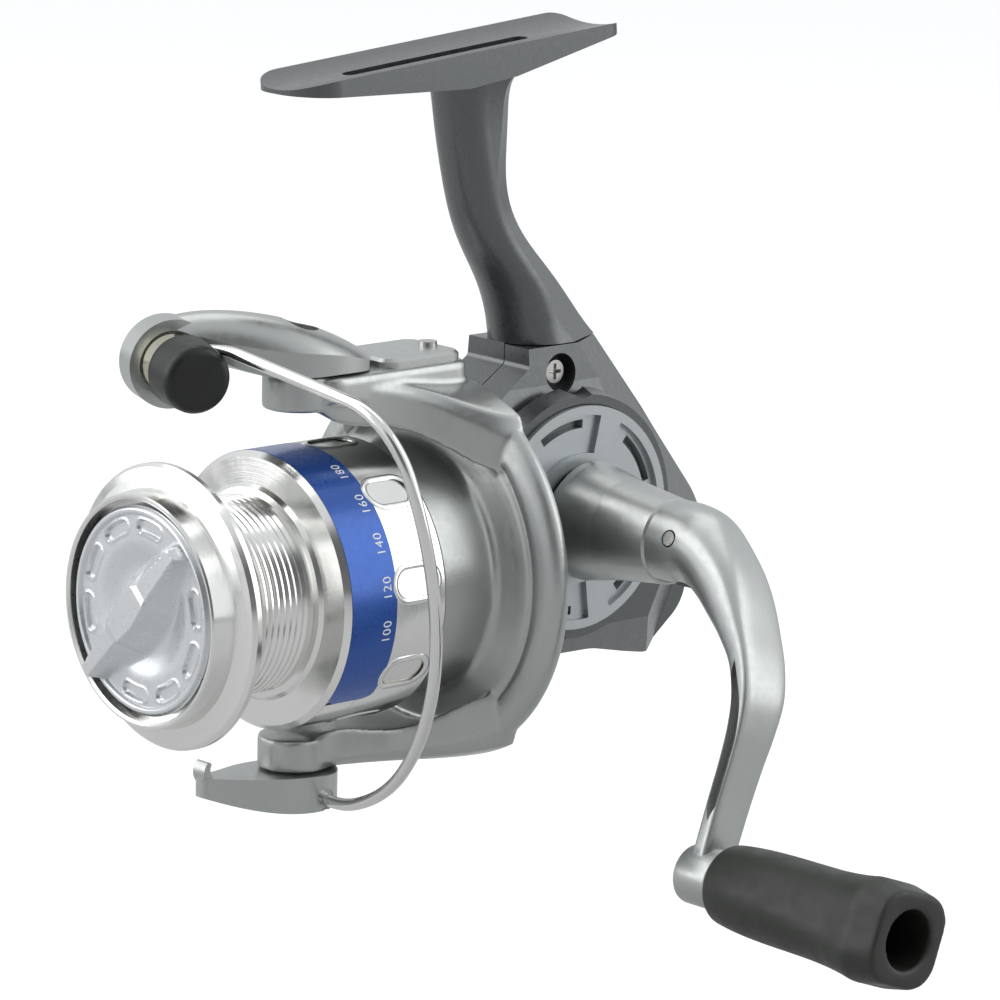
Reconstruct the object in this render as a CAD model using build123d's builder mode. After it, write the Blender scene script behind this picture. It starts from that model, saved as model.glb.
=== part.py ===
from build123d import *
from math import atan2, cos, degrees, hypot, pi, radians, sin, sqrt, tan
import os

os.makedirs("parts", exist_ok=True)

# Open-face spinning reel. The frame stands at the middle of the foot seat, where the rod
# blank lies: +Z points at the rod, -Y to the line side and +X to the handle side. Inside,
# places are given from the spool axis: x to the right, y to the back, z up.

# ---------------------------------------------------------------- driving dimensions (mm)
SHAFT_DROP = 81.7          # foot seat down to the spool axis
SEAT_BACK = 8.2            # foot seat behind the zero station of the spool axis
RUN = 0.05                 # running fit, on the radius
FIT = 0.02                 # seated fit, on the radius
GAP = 0.3                  # clearance between moving bodies

FOOT_TILT = 4.82           # foot against the spool axis
FOOT_LENGTH, FOOT_WIDTH = 66.0, 15.8
SADDLE_RISE = 1.2          # edges of the seat above its middle
FOOT_SLOT_LENGTH, FOOT_SLOT_WIDTH, FOOT_SLOT_DEPTH = 38.0, 2.8, 3.4

HANDLE_Y, HANDLE_Z = 28.65, 7.0     # handle axis from the spool axis
CRANK_ANGLE = 20.0         # resting crank, forward of straight down
PARTING_X = 1.3            # joint face between body and side cover
SEAM = 0.2                 # joint line between body and side cover
SEAM_Z = 34.3              # top of the side cover
HALF = 12.2                # half thickness of the gear housing
WALL = 2.2
BOSS_R, BOSS_X = 20.0, 13.4         # round side bosses of the housing
PLATE_R, PLATE_T, PLATE_X = 18.3, 2.2, 14.3
PLATE_WINDOWS = (33, 105, 177, 249, 321)
PLATE_FIELD_SPAN, PLATE_WINDOW_SPAN = 56, 34
COVER_SCREW_R, COVER_SCREW_HEAD_R, COVER_RECESS_R = 1.3, 1.9, 3.2

SHAFT_R = 1.75             # main shaft
STROKE = 11.0              # spool travel
PINION_TEETH, GEAR_TEETH = 9, 45
PINION_R = 3.0             # pitch radius
PINION_ADD, PINION_DED = 0.45, 0.5
FACE_OUT, FACE_IN = 18.0, 15.2      # band of face teeth on the drive gear
GEAR_SHAFT_R = 3.5
OSC_Y, OSC_Z = 49.0, -1.0  # oscillation gear axis
OSC_TEETH_A, OSC_TEETH_B = 16, 20
OSC_ADD, OSC_DED = 0.85, 1.15
OSC_T = 1.8

SPOOL_LIP_R, SPOOL_LIP_Y = 22.5, -45.0
RIM_Y = -50.7              # front edge of the spool
ARBOR_R, ARBOR_FRONT, ARBOR_BACK = 15.7, -41.9, -28.6
SKIRT_R, SKIRT_FRONT, SKIRT_BACK = 22.15, -27.1, -6.6
SKIRT_T = 1.15
BAND_FRONT, BAND_BACK, BAND_T = -26.2, -19.8, 0.3
DRUM_CLEAR = 0.8           # running room between the skirt and the rotor's drum
DRUM_R = SKIRT_R - SKIRT_T - DRUM_CLEAR
DRUM_FRONT, DRUM_T = -12.5, 1.6
ROTOR_R, ROTOR_BACK = 31.6, 10.8    # rotor rim
ARM_TOP, ARM_LOW = 34.0, 29.4       # outer faces of the upper and lower rotor arms
ARM_HALF = 8.0
HUB_R = 5.8                # rotor arm ends
BAIL_Y = -19.0             # bail pivots
WIRE_R = 1.0
KNOB_R = 16.5              # drag knob


# ---------------------------------------------------------------- frame helpers
def side(x=0.0):
    """Plane at x, drawn in (back, up) from the spool axis; its normal is +X."""
    return Plane(origin=(x, -SEAT_BACK, -SHAFT_DROP), x_dir=(0, 1, 0), z_dir=(1, 0, 0))


def front(y=0.0):
    """Plane across the spool axis at y, drawn in (right, up); its normal is -Y."""
    return Plane(origin=(0, y - SEAT_BACK, -SHAFT_DROP), x_dir=(1, 0, 0), z_dir=(0, -1, 0))


def level(z=0.0):
    """Level plane at z, drawn in (right, back); its normal is +Z."""
    return Plane(origin=(0, -SEAT_BACK, z - SHAFT_DROP))


def gear_side(x=0.0):
    """Plane at x, drawn in (back, up) from the handle axis; its normal is +X."""
    return Plane(origin=(x, HANDLE_Y - SEAT_BACK, HANDLE_Z - SHAFT_DROP), x_dir=(0, 1, 0), z_dir=(1, 0, 0))


def crank(offset=0.0):
    """Plane of the crank, drawn in (right, along the crank) from the handle axis."""
    a = radians(CRANK_ANGLE)
    base = Plane(
        origin=(0, HANDLE_Y - SEAT_BACK, HANDLE_Z - SHAFT_DROP),
        x_dir=(1, 0, 0),
        z_dir=(0, cos(a), -sin(a)),
    )
    return base.offset(offset)


SPOOL_AXIS = Axis((0, -SEAT_BACK, -SHAFT_DROP), (0, 1, 0))
HANDLE_AXIS = Axis((0, HANDLE_Y - SEAT_BACK, HANDLE_Z - SHAFT_DROP), (1, 0, 0))


def turned(points, axis=SPOOL_AXIS, plane=None, mode=Mode.ADD):
    """Turn a closed (along, radius) outline about an axis."""
    with BuildSketch(plane or side()) as outline:
        with BuildLine():
            Polyline(*points, close=True)
        make_face()
    revolve(outline.sketch, axis=axis, mode=mode)


def ring(y0, y1, r_out, r_in=0.0, mode=Mode.ADD):
    """Ring or disc on the spool axis from y0 to y1."""
    turned([(y0, r_in), (y1, r_in), (y1, r_out), (y0, r_out)], mode=mode)


def gear_ring(x0, x1, r_out, r_in=0.0, mode=Mode.ADD):
    """Ring or disc on the handle axis from x0 to x1."""
    points = [(x0, r_in), (x1, r_in), (x1, r_out), (x0, r_out)]
    turned(points, axis=HANDLE_AXIS, plane=crank(), mode=mode)


def save(part, name):
    part.part.label = name
    export_step(part.part, f"parts/{name}.step")


def spur_outline(teeth, pitch_r, add, ded, turn, slack=0.10):
    """Straight-flanked gear face; turn is the angle of one tooth's middle."""
    pitch = 2 * pi * pitch_r / teeth
    half_pitch = pitch * (0.5 - slack) / 2
    flank = tan(radians(20))
    root_r, tip_r = pitch_r - ded, pitch_r + add
    half_tip = (half_pitch - add * flank) / tip_r
    half_root = (half_pitch + ded * flank) / root_r
    corners = []
    for k in range(teeth):
        a = radians(turn) + 2 * pi * k / teeth
        for r, da in ((root_r, -half_root), (tip_r, -half_tip), (tip_r, half_tip), (root_r, half_root)):
            corners.append((r * cos(a + da), r * sin(a + da)))
    with BuildSketch() as gear:
        with BuildLine():
            Polyline(*corners, close=True)
        make_face()
    return gear.sketch


# ---------------------------------------------------------------- foot, stem and gear housing
tilt = radians(FOOT_TILT)
foot_plane = Plane(origin=(0, 0, 0), x_dir=(1, 0, 0), z_dir=(0, -sin(tilt), cos(tilt)))
foot_side = Plane(origin=(0, 0, 0), x_dir=(0, cos(tilt), sin(tilt)), z_dir=(1, 0, 0))
foot_along = Plane(origin=(0, 0, 0), x_dir=(1, 0, 0), z_dir=(0, -cos(tilt), -sin(tilt)))
saddle_r = ((FOOT_WIDTH / 2) ** 2 + SADDLE_RISE**2) / (2 * SADDLE_RISE)
foot_end = FOOT_LENGTH / 2

# level, nose, back, half thickness, back bevel: the stem from the foot to the housing
STEM = [
    (79.0, 7.6, 24.6, 6.0, 3.4),
    (75.0, 9.0, 21.8, 5.3, 3.6),
    (68.0, 10.1, 21.6, 5.0, 3.8),
    (60.0, 11.9, 21.8, 5.0, 4.4),
    (54.0, 13.9, 24.0, 5.2, 5.0),
    (48.0, 17.2, 28.7, 5.8, 6.0),
    (41.3, 20.9, 34.6, 6.4, 7.0),
    (SEAM_Z, 22.8, 40.6, 7.2, 8.0),
    (28.0, 22.8, 45.4, 7.6, 8.6),
]


def stem_section(z, nose, back, half, bevel):
    """Closed stem section: round nose, flat sides and a bevelled back."""
    shoulder = nose + 1.15 * half
    edge = 0.45 * half
    with BuildSketch(level(z)) as section:
        with BuildLine():
            ThreePointArc((-half, shoulder), (0, nose), (half, shoulder))
            Polyline(
                (half, shoulder),
                (half, back - bevel),
                (edge, back),
                (-edge, back),
                (-half, back - bevel),
                (-half, shoulder),
            )
        make_face()
    return section.sketch


HOUSING = [(11.5, -16.6), (11.5, 21.5), (16.0, 26.5), (22.8, 31.0), (22.8, SEAM_Z), (40.6, SEAM_Z)]
HOUSING += [(52.0, 20.6), (64.0, 5.0), (65.2, -4.0), (62.0, -14.0), (53.5, -20.8), (47.0, -19.4)]
HOUSING += [(38.0, -17.2)]
HOUSING_R = [4.0, 3.0, 6.0, 1.0, 0.0, 0.0, 30.0, 7.0, 12.0, 8.0, 3.5, 10.0, 15.0]


def housing_outline(inset=0.0):
    """Side outline of the gear housing, in (back, up) from the spool axis."""
    with BuildSketch() as outline:
        with BuildLine():
            FilletPolyline(*HOUSING, radius=HOUSING_R, close=True)
        make_face()
        if inset:
            offset(amount=-inset, kind=Kind.INTERSECTION, mode=Mode.REPLACE)
    return outline.sketch


# straight stretches of the outline that are bevelled: along the back and under the tail
BEVELS = [((40.6, SEAM_Z), (64.6, 5.0)), ((65.4, 0.0), (54.6, -21.6))]
# the handle side has a deep bevel that carries on the one of the stem
BEVEL_ACROSS = {1: HALF - 3.0, -1: 4.6}
BEVEL_INWARD = {1: 12.0, -1: 7.6}
# underside: half thickness at the bottom and where the slope ends
BELLY = {1: (2.5, -12.0), -1: (7.0, -14.0)}
# hollow: inset from the outline, depth from the middle, highest point
HOLLOW = {
    1: [(2.4, 2.6, 40.0), (6.0, 5.4, 40.0), (9.4, 7.6, 21.0), (12.2, HALF - WALL, 13.0)],
    -1: [(WALL, 5.6, 40.0), (WALL, 7.5, 21.0), (9.6, HALF - WALL, 13.0)],
}
# half thickness and height where the top thins down to the stem
SHOULDER = [(7.2, SEAM_Z), (7.8, 28.0), (10.0, 20.0), (HALF, 12.0)]


def bevel_cut(start_point, end_point, across, inward, hand):
    """Cut a straight bevel along one stretch of the housing outline."""
    (y0, z0), (y1, z1) = start_point, end_point
    run = Vector(0, y1 - y0, z1 - z0)
    along = run.normalized()
    # drawn in (outwards from the outline, to the left or right)
    plane = Plane(
        origin=(hand * HALF, y0 - SEAT_BACK, z0 - SHAFT_DROP),
        x_dir=Vector(0, -along.Z, along.Y),
        z_dir=along,
    ).offset(-8.0)
    right = hand * plane.y_dir.X
    with BuildSketch(plane) as notch:
        with BuildLine():
            Polyline(
                (3.0, -across * right),
                (0.0, -across * right),
                (-inward, 0.0),
                (-inward, 3.0 * right),
                (3.0, 3.0 * right),
                close=True,
            )
        make_face()
    extrude(notch.sketch, amount=run.length + 16.0, mode=Mode.SUBTRACT)


def housing_half(hand, start):
    """One closed half of the housing from x = start outwards, on side hand."""
    with BuildPart() as half:
        with BuildSketch(side(hand * start)):
            add(housing_outline())
        extrude(amount=hand * (HALF - start))
        for start_point, end_point in BEVELS:
            bevel_cut(start_point, end_point, BEVEL_ACROSS[hand], BEVEL_INWARD[hand], hand)
        # the top thins down to the stem and the underside to the belly
        bottom_x, belly_z = BELLY[hand]
        far = HALF + 9
        slope = SHOULDER + [(far, SHOULDER[-1][1]), (far, SEAM_Z + 5), (SHOULDER[0][0], SEAM_Z + 5)]
        belly = [(bottom_x, -22.5), (HALF, belly_z), (far, belly_z), (far, -26.0), (bottom_x, -26.0)]
        for cut in (slope, belly):
            with BuildSketch(front(80.0)):
                with BuildLine():
                    Polyline(*[(hand * x, z) for x, z in cut], close=True)
                make_face()
            extrude(amount=80.0, mode=Mode.SUBTRACT)
        # round boss around the handle axis
        cone = [(start, 0), (HALF - 2.0, BOSS_R + 0.8), (BOSS_X, BOSS_R), (BOSS_X, 0)]
        turned([(hand * x, r) for x, r in cone], axis=HANDLE_AXIS, plane=crank())
        # the hollow is shallower behind the bevels and under the shoulder
        for inset, depth, top in HOLLOW[hand]:
            with BuildSketch(side(hand * start)):
                add(housing_outline(inset))
                with Locations((40.0, top - 40.0)):
                    Rectangle(120.0, 80.0, mode=Mode.INTERSECT)
            extrude(amount=hand * (depth - start), mode=Mode.SUBTRACT)
    return half.part


LEVER_X, LEVER_Y, LEVER_TOP = -4.5, 32.5, -17.55    # anti-reverse lever
LEVER_PEG_R, LEVER_PEG_TOP = 1.5, -13.4
BEARING_R, BEARING_T = 6.0, 4.0     # handle bearings
BEARING_SEAT_X = 13.0      # outer face of the handle bearings
NECK_R, NECK_FRONT = 17.2, 2.6
PB_R, PB_T = 7.5, 4.6      # pinion bearing
PB_BACK = 8.0
PINION_JOURNAL_R, PINION_TAIL_R = 3.25, 2.45
PINION_TEETH_FRONT, PINION_TEETH_BACK = 10.4, 15.4
GEAR_ROOM = (2.2, 7.1)     # room left for the drive gear, along the handle axis
BUSH_R, BUSH_FRONT, BUSH_BACK = 3.1, 15.9, 17.9
GUIDE_R, GUIDE_X, GUIDE_Z = 1.0, -0.5, -11.0
GUIDE_FRONT, GUIDE_BACK = 36.5, 61.2
COVER_SCREWS = [(29.5, 29.6), (24.0, -14.2)]
SCREW_POST_R, SCREW_POST_X = 2.6, 6.5
SCREW_SEAT_X = 4.6         # cover face under the screw heads
CAP_STEM_R, CAP_STEM_END = 1.9, -9.0   # screwed end inside the hollow gear shaft
RETAINER_R, RETAINER_T = 10.4, 1.2
RETAINER_SCREW_RADIUS, RETAINER_SCREW_R = 9.0, 0.8
CAP_X, CAP_R, CAP_T = -BOSS_X - GAP, 8.2, 3.4


def bearing_boss(hand, start):
    """Carrier of a handle bearing inside the side wall."""
    gear_ring(hand * start, hand * (HALF - WALL + 0.5), BEARING_R + 2.0)
    gear_ring(hand * (BEARING_SEAT_X - BEARING_T), hand * (BOSS_X + 1), BEARING_R + FIT, mode=Mode.SUBTRACT)
    gear_ring(hand * start, hand * (BOSS_X + 1), BEARING_R - 1.2, mode=Mode.SUBTRACT)


with BuildPart() as body_frame:
    # foot: rounded plan, wedge profile, saddle and lightening slot
    with BuildSketch(foot_plane.offset(-9.0)):
        Rectangle(FOOT_WIDTH, FOOT_LENGTH)
        fillet(vertices().group_by(Axis.Y)[0], FOOT_WIDTH / 2 - 1.0)
        fillet(vertices().group_by(Axis.Y)[-1], 2.5)
    extrude(amount=12.0)
    with BuildSketch(foot_side):
        with BuildLine():
            wedge = [(-foot_end, SADDLE_RISE), (-foot_end, -0.7), (-11.0, -3.2), (0.0, -4.4), (10.0, -4.0)]
            wedge += [(foot_end, -0.6), (foot_end, SADDLE_RISE)]
            Polyline(*wedge, close=True)
        make_face()
    extrude(amount=FOOT_WIDTH, both=True, mode=Mode.INTERSECT)
    with BuildSketch(foot_along.offset(-foot_end - 2)):
        with Locations((0, saddle_r)):
            Circle(saddle_r)
    extrude(amount=FOOT_LENGTH + 4, mode=Mode.SUBTRACT)
    loft([stem_section(*station) for station in STEM])
    with BuildSketch(foot_plane.offset(2.0)):
        SlotOverall(FOOT_SLOT_LENGTH, FOOT_SLOT_WIDTH, rotation=90)
    extrude(amount=-FOOT_SLOT_DEPTH - 2.0, mode=Mode.SUBTRACT)
    # the side cover's share of the stem root is cut away
    with BuildSketch(level(SEAM_Z)):
        with Locations((PARTING_X + 15, 35.0)):
            Rectangle(30, 60)
    extrude(amount=-20, mode=Mode.SUBTRACT)
    with BuildSketch(side(PARTING_X)):
        add(housing_outline(WALL))
    extrude(amount=-(HALF - WALL + PARTING_X), mode=Mode.SUBTRACT)
    add(housing_half(-1, -PARTING_X))
    # neck that carries the pinion bearing
    turned([(NECK_FRONT, 0), (NECK_FRONT, 11.0), (5.2, 11.0), (7.0, NECK_R), (14.0, NECK_R), (14.0, 0)])
    ring(9.8, 15.0, 15.2, mode=Mode.SUBTRACT)
    ring(NECK_FRONT - 1, PB_BACK, PB_R + FIT, mode=Mode.SUBTRACT)
    ring(PB_BACK - 1, 10.0, 6.2, mode=Mode.SUBTRACT)
    # flat that clears the side plate
    gear_ring(BOSS_X - PLATE_T + 1.0 - SEAM, BOSS_X + 9, PLATE_R + SEAM, mode=Mode.SUBTRACT)
    bearing_boss(-1, 8.6)
    # rib with the pinion bush
    with BuildSketch(front(BUSH_BACK)):
        with Locations((-(HALF - WALL) / 2 + 1.0, -0.5)):
            Rectangle(HALF - WALL + 2.4, 9.0)
    extrude(amount=BUSH_BACK - BUSH_FRONT)
    ring(BUSH_FRONT - 1, BUSH_BACK + 1, BUSH_R + FIT, mode=Mode.SUBTRACT)
    # oscillation gear post
    with BuildSketch(side(-(HALF - WALL + 0.4))):
        with Locations((OSC_Y, OSC_Z)):
            Circle(3.2)
    extrude(amount=2.6)
    with BuildSketch(side(-(HALF - WALL + 0.4))):
        with Locations((OSC_Y, OSC_Z)):
            Circle(1.8)
    extrude(amount=5.4)
    # guide rod lugs
    for y0, y1, reach in ((GUIDE_FRONT, GUIDE_FRONT + 2.0, 8.6), (GUIDE_BACK - 1.6, GUIDE_BACK + 0.4, 6.4)):
        with BuildSketch(front(y1)):
            with Locations(((PARTING_X - reach) / 2, GUIDE_Z)):
                Rectangle(PARTING_X + reach, 4.4)
        extrude(amount=y1 - y0)
    with BuildSketch(front(GUIDE_BACK)):
        with Locations((GUIDE_X, GUIDE_Z)):
            Circle(GUIDE_R + FIT)
    extrude(amount=GUIDE_BACK - GUIDE_FRONT, mode=Mode.SUBTRACT)
    # room for the drive gear
    gear_ring(GEAR_ROOM[0], GEAR_ROOM[1], FACE_OUT + 0.6, mode=Mode.SUBTRACT)
    # boss for the anti-reverse lever
    with BuildSketch(level(LEVER_PEG_TOP)):
        with Locations((LEVER_X, LEVER_Y)):
            Circle(LEVER_PEG_R + 1.5)
    extrude(amount=-3.0)
    with BuildSketch(level(LEVER_PEG_TOP + 1)):
        with Locations((LEVER_X, LEVER_Y)):
            Circle(LEVER_PEG_R + RUN)
    extrude(amount=-12.0, mode=Mode.SUBTRACT)
    # cover screw posts
    with BuildSketch(side(PARTING_X)):
        with Locations(*COVER_SCREWS):
            Circle(SCREW_POST_R)
    extrude(amount=-SCREW_POST_X - PARTING_X)
    with BuildSketch(side(PARTING_X)):
        with Locations(*COVER_SCREWS):
            Circle(COVER_SCREW_R + FIT)
    extrude(amount=-7.0, mode=Mode.SUBTRACT)
save(body_frame, "body_frame")

with BuildPart() as side_cover:
    add(housing_half(1, PARTING_X + SEAM))
    with BuildSketch(level(SEAM_Z - SEAM)):
        with Locations((10, 35.0)):
            Rectangle(60, 90)
    extrude(amount=10, mode=Mode.SUBTRACT)
    ring(0.0, 14.0 + SEAM, NECK_R + SEAM, mode=Mode.SUBTRACT)
    gear_ring(BOSS_X - PLATE_T + 1.0, BOSS_X + 2, PLATE_R + SEAM, mode=Mode.SUBTRACT)
    bearing_boss(1, 8.6)
    with BuildSketch(side(PARTING_X + SEAM)):
        with Locations(*COVER_SCREWS):
            Circle(COVER_RECESS_R + 0.9)
        add(housing_outline(0.6), mode=Mode.INTERSECT)
    extrude(amount=5.0)
    gear_ring(GEAR_ROOM[0], GEAR_ROOM[1], FACE_OUT + 0.6, mode=Mode.SUBTRACT)
    with BuildSketch(side(0)):
        with Locations(*COVER_SCREWS):
            Circle(COVER_SCREW_R + 0.2)
    extrude(amount=30, mode=Mode.SUBTRACT)
    with BuildSketch(side(SCREW_SEAT_X)):
        with Locations(*COVER_SCREWS):
            Circle(COVER_RECESS_R)
    extrude(amount=30, mode=Mode.SUBTRACT)
save(side_cover, "side_cover")

def ring_sector(r_out, r_in, middle, span):
    """Part of a flat ring round the handle axis."""
    with BuildSketch() as sector:
        with BuildLine():
            outer_arc = CenterArc((0, 0), r_out, middle - span / 2, span)
            inner_arc = CenterArc((0, 0), r_in, middle - span / 2, span)
            Line(outer_arc @ 0, inner_arc @ 0)
            Line(outer_arc @ 1, inner_arc @ 1)
        make_face()
    return sector.sketch


with BuildPart() as side_plate:
    gear_ring(BOSS_X - PLATE_T + 1.0 + FIT, PLATE_X, PLATE_R, BEARING_R + 2.4)
    # lowered fields between the spokes, each with a narrow slot near its outer edge
    for middle in PLATE_WINDOWS:
        with BuildSketch(gear_side(PLATE_X)):
            add(ring_sector(PLATE_R - 1.5, BEARING_R + 4.6, middle, PLATE_FIELD_SPAN))
        extrude(amount=-0.9, mode=Mode.SUBTRACT)
        with BuildSketch(gear_side(PLATE_X)):
            add(ring_sector(PLATE_R - 2.3, PLATE_R - 3.7, middle, PLATE_WINDOW_SPAN))
        extrude(amount=-2.3, mode=Mode.SUBTRACT)
save(side_plate, "side_plate")

with BuildPart() as cover_screws:
    with BuildSketch(side(SCREW_SEAT_X + 1.6)):
        with Locations(*COVER_SCREWS):
            Circle(COVER_SCREW_HEAD_R)
    extrude(amount=-1.6)
    with BuildSketch(side(SCREW_SEAT_X)):
        with Locations(*COVER_SCREWS):
            Circle(COVER_SCREW_R)
    extrude(amount=-(SCREW_SEAT_X - PARTING_X) - 6.0)
    with BuildSketch(side(SCREW_SEAT_X + 1.6)):
        with Locations(*COVER_SCREWS):
            Rectangle(2.6, 0.6)
            Rectangle(0.6, 2.6)
    extrude(amount=-0.9, mode=Mode.SUBTRACT)
save(cover_screws, "cover_screws")

with BuildPart() as handle_bearings:
    for hand in (-1, 1):
        x_out, x_in = hand * BEARING_SEAT_X, hand * (BEARING_SEAT_X - BEARING_T)
        gear_ring(x_out, x_in, BEARING_R, GEAR_SHAFT_R + RUN)
        for x in (x_out - hand * 0.3, x_in):
            gear_ring(x, x + hand * 0.3, BEARING_R - 0.8, GEAR_SHAFT_R + 0.7, mode=Mode.SUBTRACT)
save(handle_bearings, "handle_bearings")

with BuildPart() as shaft_cap:
    outline = [(CAP_STEM_END, 0), (CAP_X - CAP_T, 0), (CAP_X - CAP_T, CAP_R - 1.6)]
    outline += [(CAP_X - CAP_T + 1.2, CAP_R), (CAP_X, CAP_R), (CAP_X, GEAR_SHAFT_R)]
    outline += [(-BEARING_SEAT_X, GEAR_SHAFT_R)]
    outline += [(-BEARING_SEAT_X, CAP_STEM_R), (CAP_STEM_END, CAP_STEM_R)]
    turned(outline, axis=HANDLE_AXIS, plane=crank())
    with BuildSketch(gear_side(CAP_X - CAP_T)):
        with PolarLocations(CAP_R, 8):
            Circle(0.8)
    extrude(amount=CAP_T + 1, mode=Mode.SUBTRACT)
    with BuildSketch(gear_side(CAP_X - CAP_T)):
        SlotOverall(8.0, 1.2)
    extrude(amount=0.8, mode=Mode.SUBTRACT)
save(shaft_cap, "shaft_cap")

with BuildPart() as pinion_bearing:
    ring(PB_BACK - PB_T, PB_BACK, PB_R, PINION_JOURNAL_R + RUN)
    for y in (PB_BACK - PB_T, PB_BACK - 0.3):
        ring(y, y + 0.3, PB_R - 1.0, PINION_JOURNAL_R + 0.9, mode=Mode.SUBTRACT)
save(pinion_bearing, "pinion_bearing")

with BuildPart() as bearing_retainer:
    ring(NECK_FRONT - RETAINER_T, NECK_FRONT, RETAINER_R, 5.3)
    ring(NECK_FRONT, PB_BACK - PB_T, PB_R - 0.1, 6.4)
    with BuildSketch(front(NECK_FRONT)):
        with PolarLocations(RETAINER_SCREW_RADIUS, 3, start_angle=90):
            Circle(RETAINER_SCREW_R + 0.1)
    extrude(amount=RETAINER_T, mode=Mode.SUBTRACT)
save(bearing_retainer, "bearing_retainer")

with BuildPart() as retainer_screws:
    with BuildSketch(front(NECK_FRONT - RETAINER_T)):
        with PolarLocations(RETAINER_SCREW_RADIUS, 3, start_angle=90):
            Circle(1.3)
    extrude(amount=0.6)
    with BuildSketch(front(NECK_FRONT - RETAINER_T)):
        with PolarLocations(RETAINER_SCREW_RADIUS, 3, start_angle=90):
            Circle(RETAINER_SCREW_R)
    extrude(amount=-RETAINER_T)
save(retainer_screws, "retainer_screws")

with BuildPart() as pinion_bush:
    ring(BUSH_FRONT, BUSH_BACK, BUSH_R, PINION_TAIL_R + RUN)
save(pinion_bush, "pinion_bush")

with BuildPart() as guide_rod:
    with BuildSketch(front(GUIDE_BACK)):
        with Locations((GUIDE_X, GUIDE_Z)):
            Circle(GUIDE_R)
    extrude(amount=GUIDE_BACK - GUIDE_FRONT)
save(guide_rod, "guide_rod")

# ---------------------------------------------------------------- gear train
mesh_angle = 180 + degrees(atan2(HANDLE_Z, sqrt(((FACE_OUT + FACE_IN) / 2) ** 2 - HANDLE_Z**2)))
FACE_TIP_X = PINION_R - 0.40
FACE_ROOT_X = PINION_R + 0.55
GEAR_BACK_X = 6.4
osc_centre = hypot(OSC_Y - HANDLE_Y, OSC_Z - HANDLE_Z)
osc_angle = degrees(atan2(OSC_Z - HANDLE_Z, OSC_Y - HANDLE_Y))
osc_r_a = osc_centre * OSC_TEETH_A / (OSC_TEETH_A + OSC_TEETH_B)
osc_r_b = osc_centre - osc_r_a
OSC_X = -7.2

with BuildPart() as drive_gear:
    gear_ring(-BEARING_SEAT_X, BEARING_SEAT_X, GEAR_SHAFT_R)
    gear_ring(FACE_ROOT_X, GEAR_BACK_X, FACE_OUT)
    gear_ring(FACE_ROOT_X - 1, 5.0, FACE_IN - 1.0, 6.0, mode=Mode.SUBTRACT)
    # face teeth, skewed so that they lie along the pinion where they mesh
    with BuildSketch(gear_side(FACE_ROOT_X)):
        with PolarLocations((FACE_OUT + FACE_IN) / 2, GEAR_TEETH, start_angle=mesh_angle):
            Rectangle(FACE_OUT - FACE_IN - 0.2, 1.12, rotation=180 - mesh_angle)
    extrude(amount=-(FACE_ROOT_X - FACE_TIP_X), taper=17)
    with BuildSketch(gear_side(OSC_X)):
        add(spur_outline(OSC_TEETH_A, osc_r_a, OSC_ADD, OSC_DED, osc_angle))
    extrude(amount=OSC_T)
    gear_ring(OSC_X + OSC_T, OSC_X + OSC_T + 0.8, GEAR_SHAFT_R + 1.0)
    # square hole for the handle shaft
    with BuildSketch(gear_side(-BEARING_SEAT_X - 1)):
        Rectangle(4.0 + 2 * RUN, 4.0 + 2 * RUN, rotation=45)
    extrude(amount=2 * BEARING_SEAT_X + 2, mode=Mode.SUBTRACT)
save(drive_gear, "drive_gear")

PINION_FRONT, NUT_FRONT, NUT_BACK = -9.6, -9.3, -5.8
HUB_FRONT, HUB_BACK = -5.8, 0.7
PINION_FLAT_R = 3.1
with BuildPart() as pinion:
    ring(PINION_FRONT, PINION_TEETH_FRONT, PINION_FLAT_R)
    ring(3.6, PINION_TEETH_FRONT, PINION_JOURNAL_R)
    ring(PB_BACK + 0.3, PINION_TEETH_FRONT, PINION_R + PINION_ADD + 0.4)
    with BuildSketch(front(PINION_TEETH_BACK)):
        add(spur_outline(PINION_TEETH, PINION_R, PINION_ADD, PINION_DED, 180 / PINION_TEETH))
    extrude(amount=PINION_TEETH_BACK - PINION_TEETH_FRONT)
    ring(PINION_TEETH_BACK, BUSH_BACK + 0.4, PINION_TAIL_R)
    ring(PINION_FRONT - 1, BUSH_BACK + 1, SHAFT_R + RUN, mode=Mode.SUBTRACT)
save(pinion, "pinion")

with BuildPart() as oscillation_gear:
    with BuildSketch(side(OSC_X)):
        with Locations((OSC_Y, OSC_Z)):
            osc_turn = osc_angle + 180 + 180 / OSC_TEETH_B
            add(spur_outline(OSC_TEETH_B, osc_r_b, OSC_ADD, OSC_DED, osc_turn))
            Circle(1.8 + RUN, mode=Mode.SUBTRACT)
    extrude(amount=OSC_T)
    with BuildSketch(side(OSC_X + OSC_T)):
        with Locations((OSC_Y - STROKE / 2, OSC_Z)):
            Circle(1.2)
    extrude(amount=1.3)
    with BuildSketch(side(OSC_X)):
        with Locations((OSC_Y, OSC_Z)):
            with PolarLocations(7.6, 5, start_angle=36):
                Circle(1.9)
    extrude(amount=OSC_T, mode=Mode.SUBTRACT)
save(oscillation_gear, "oscillation_gear")

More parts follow.
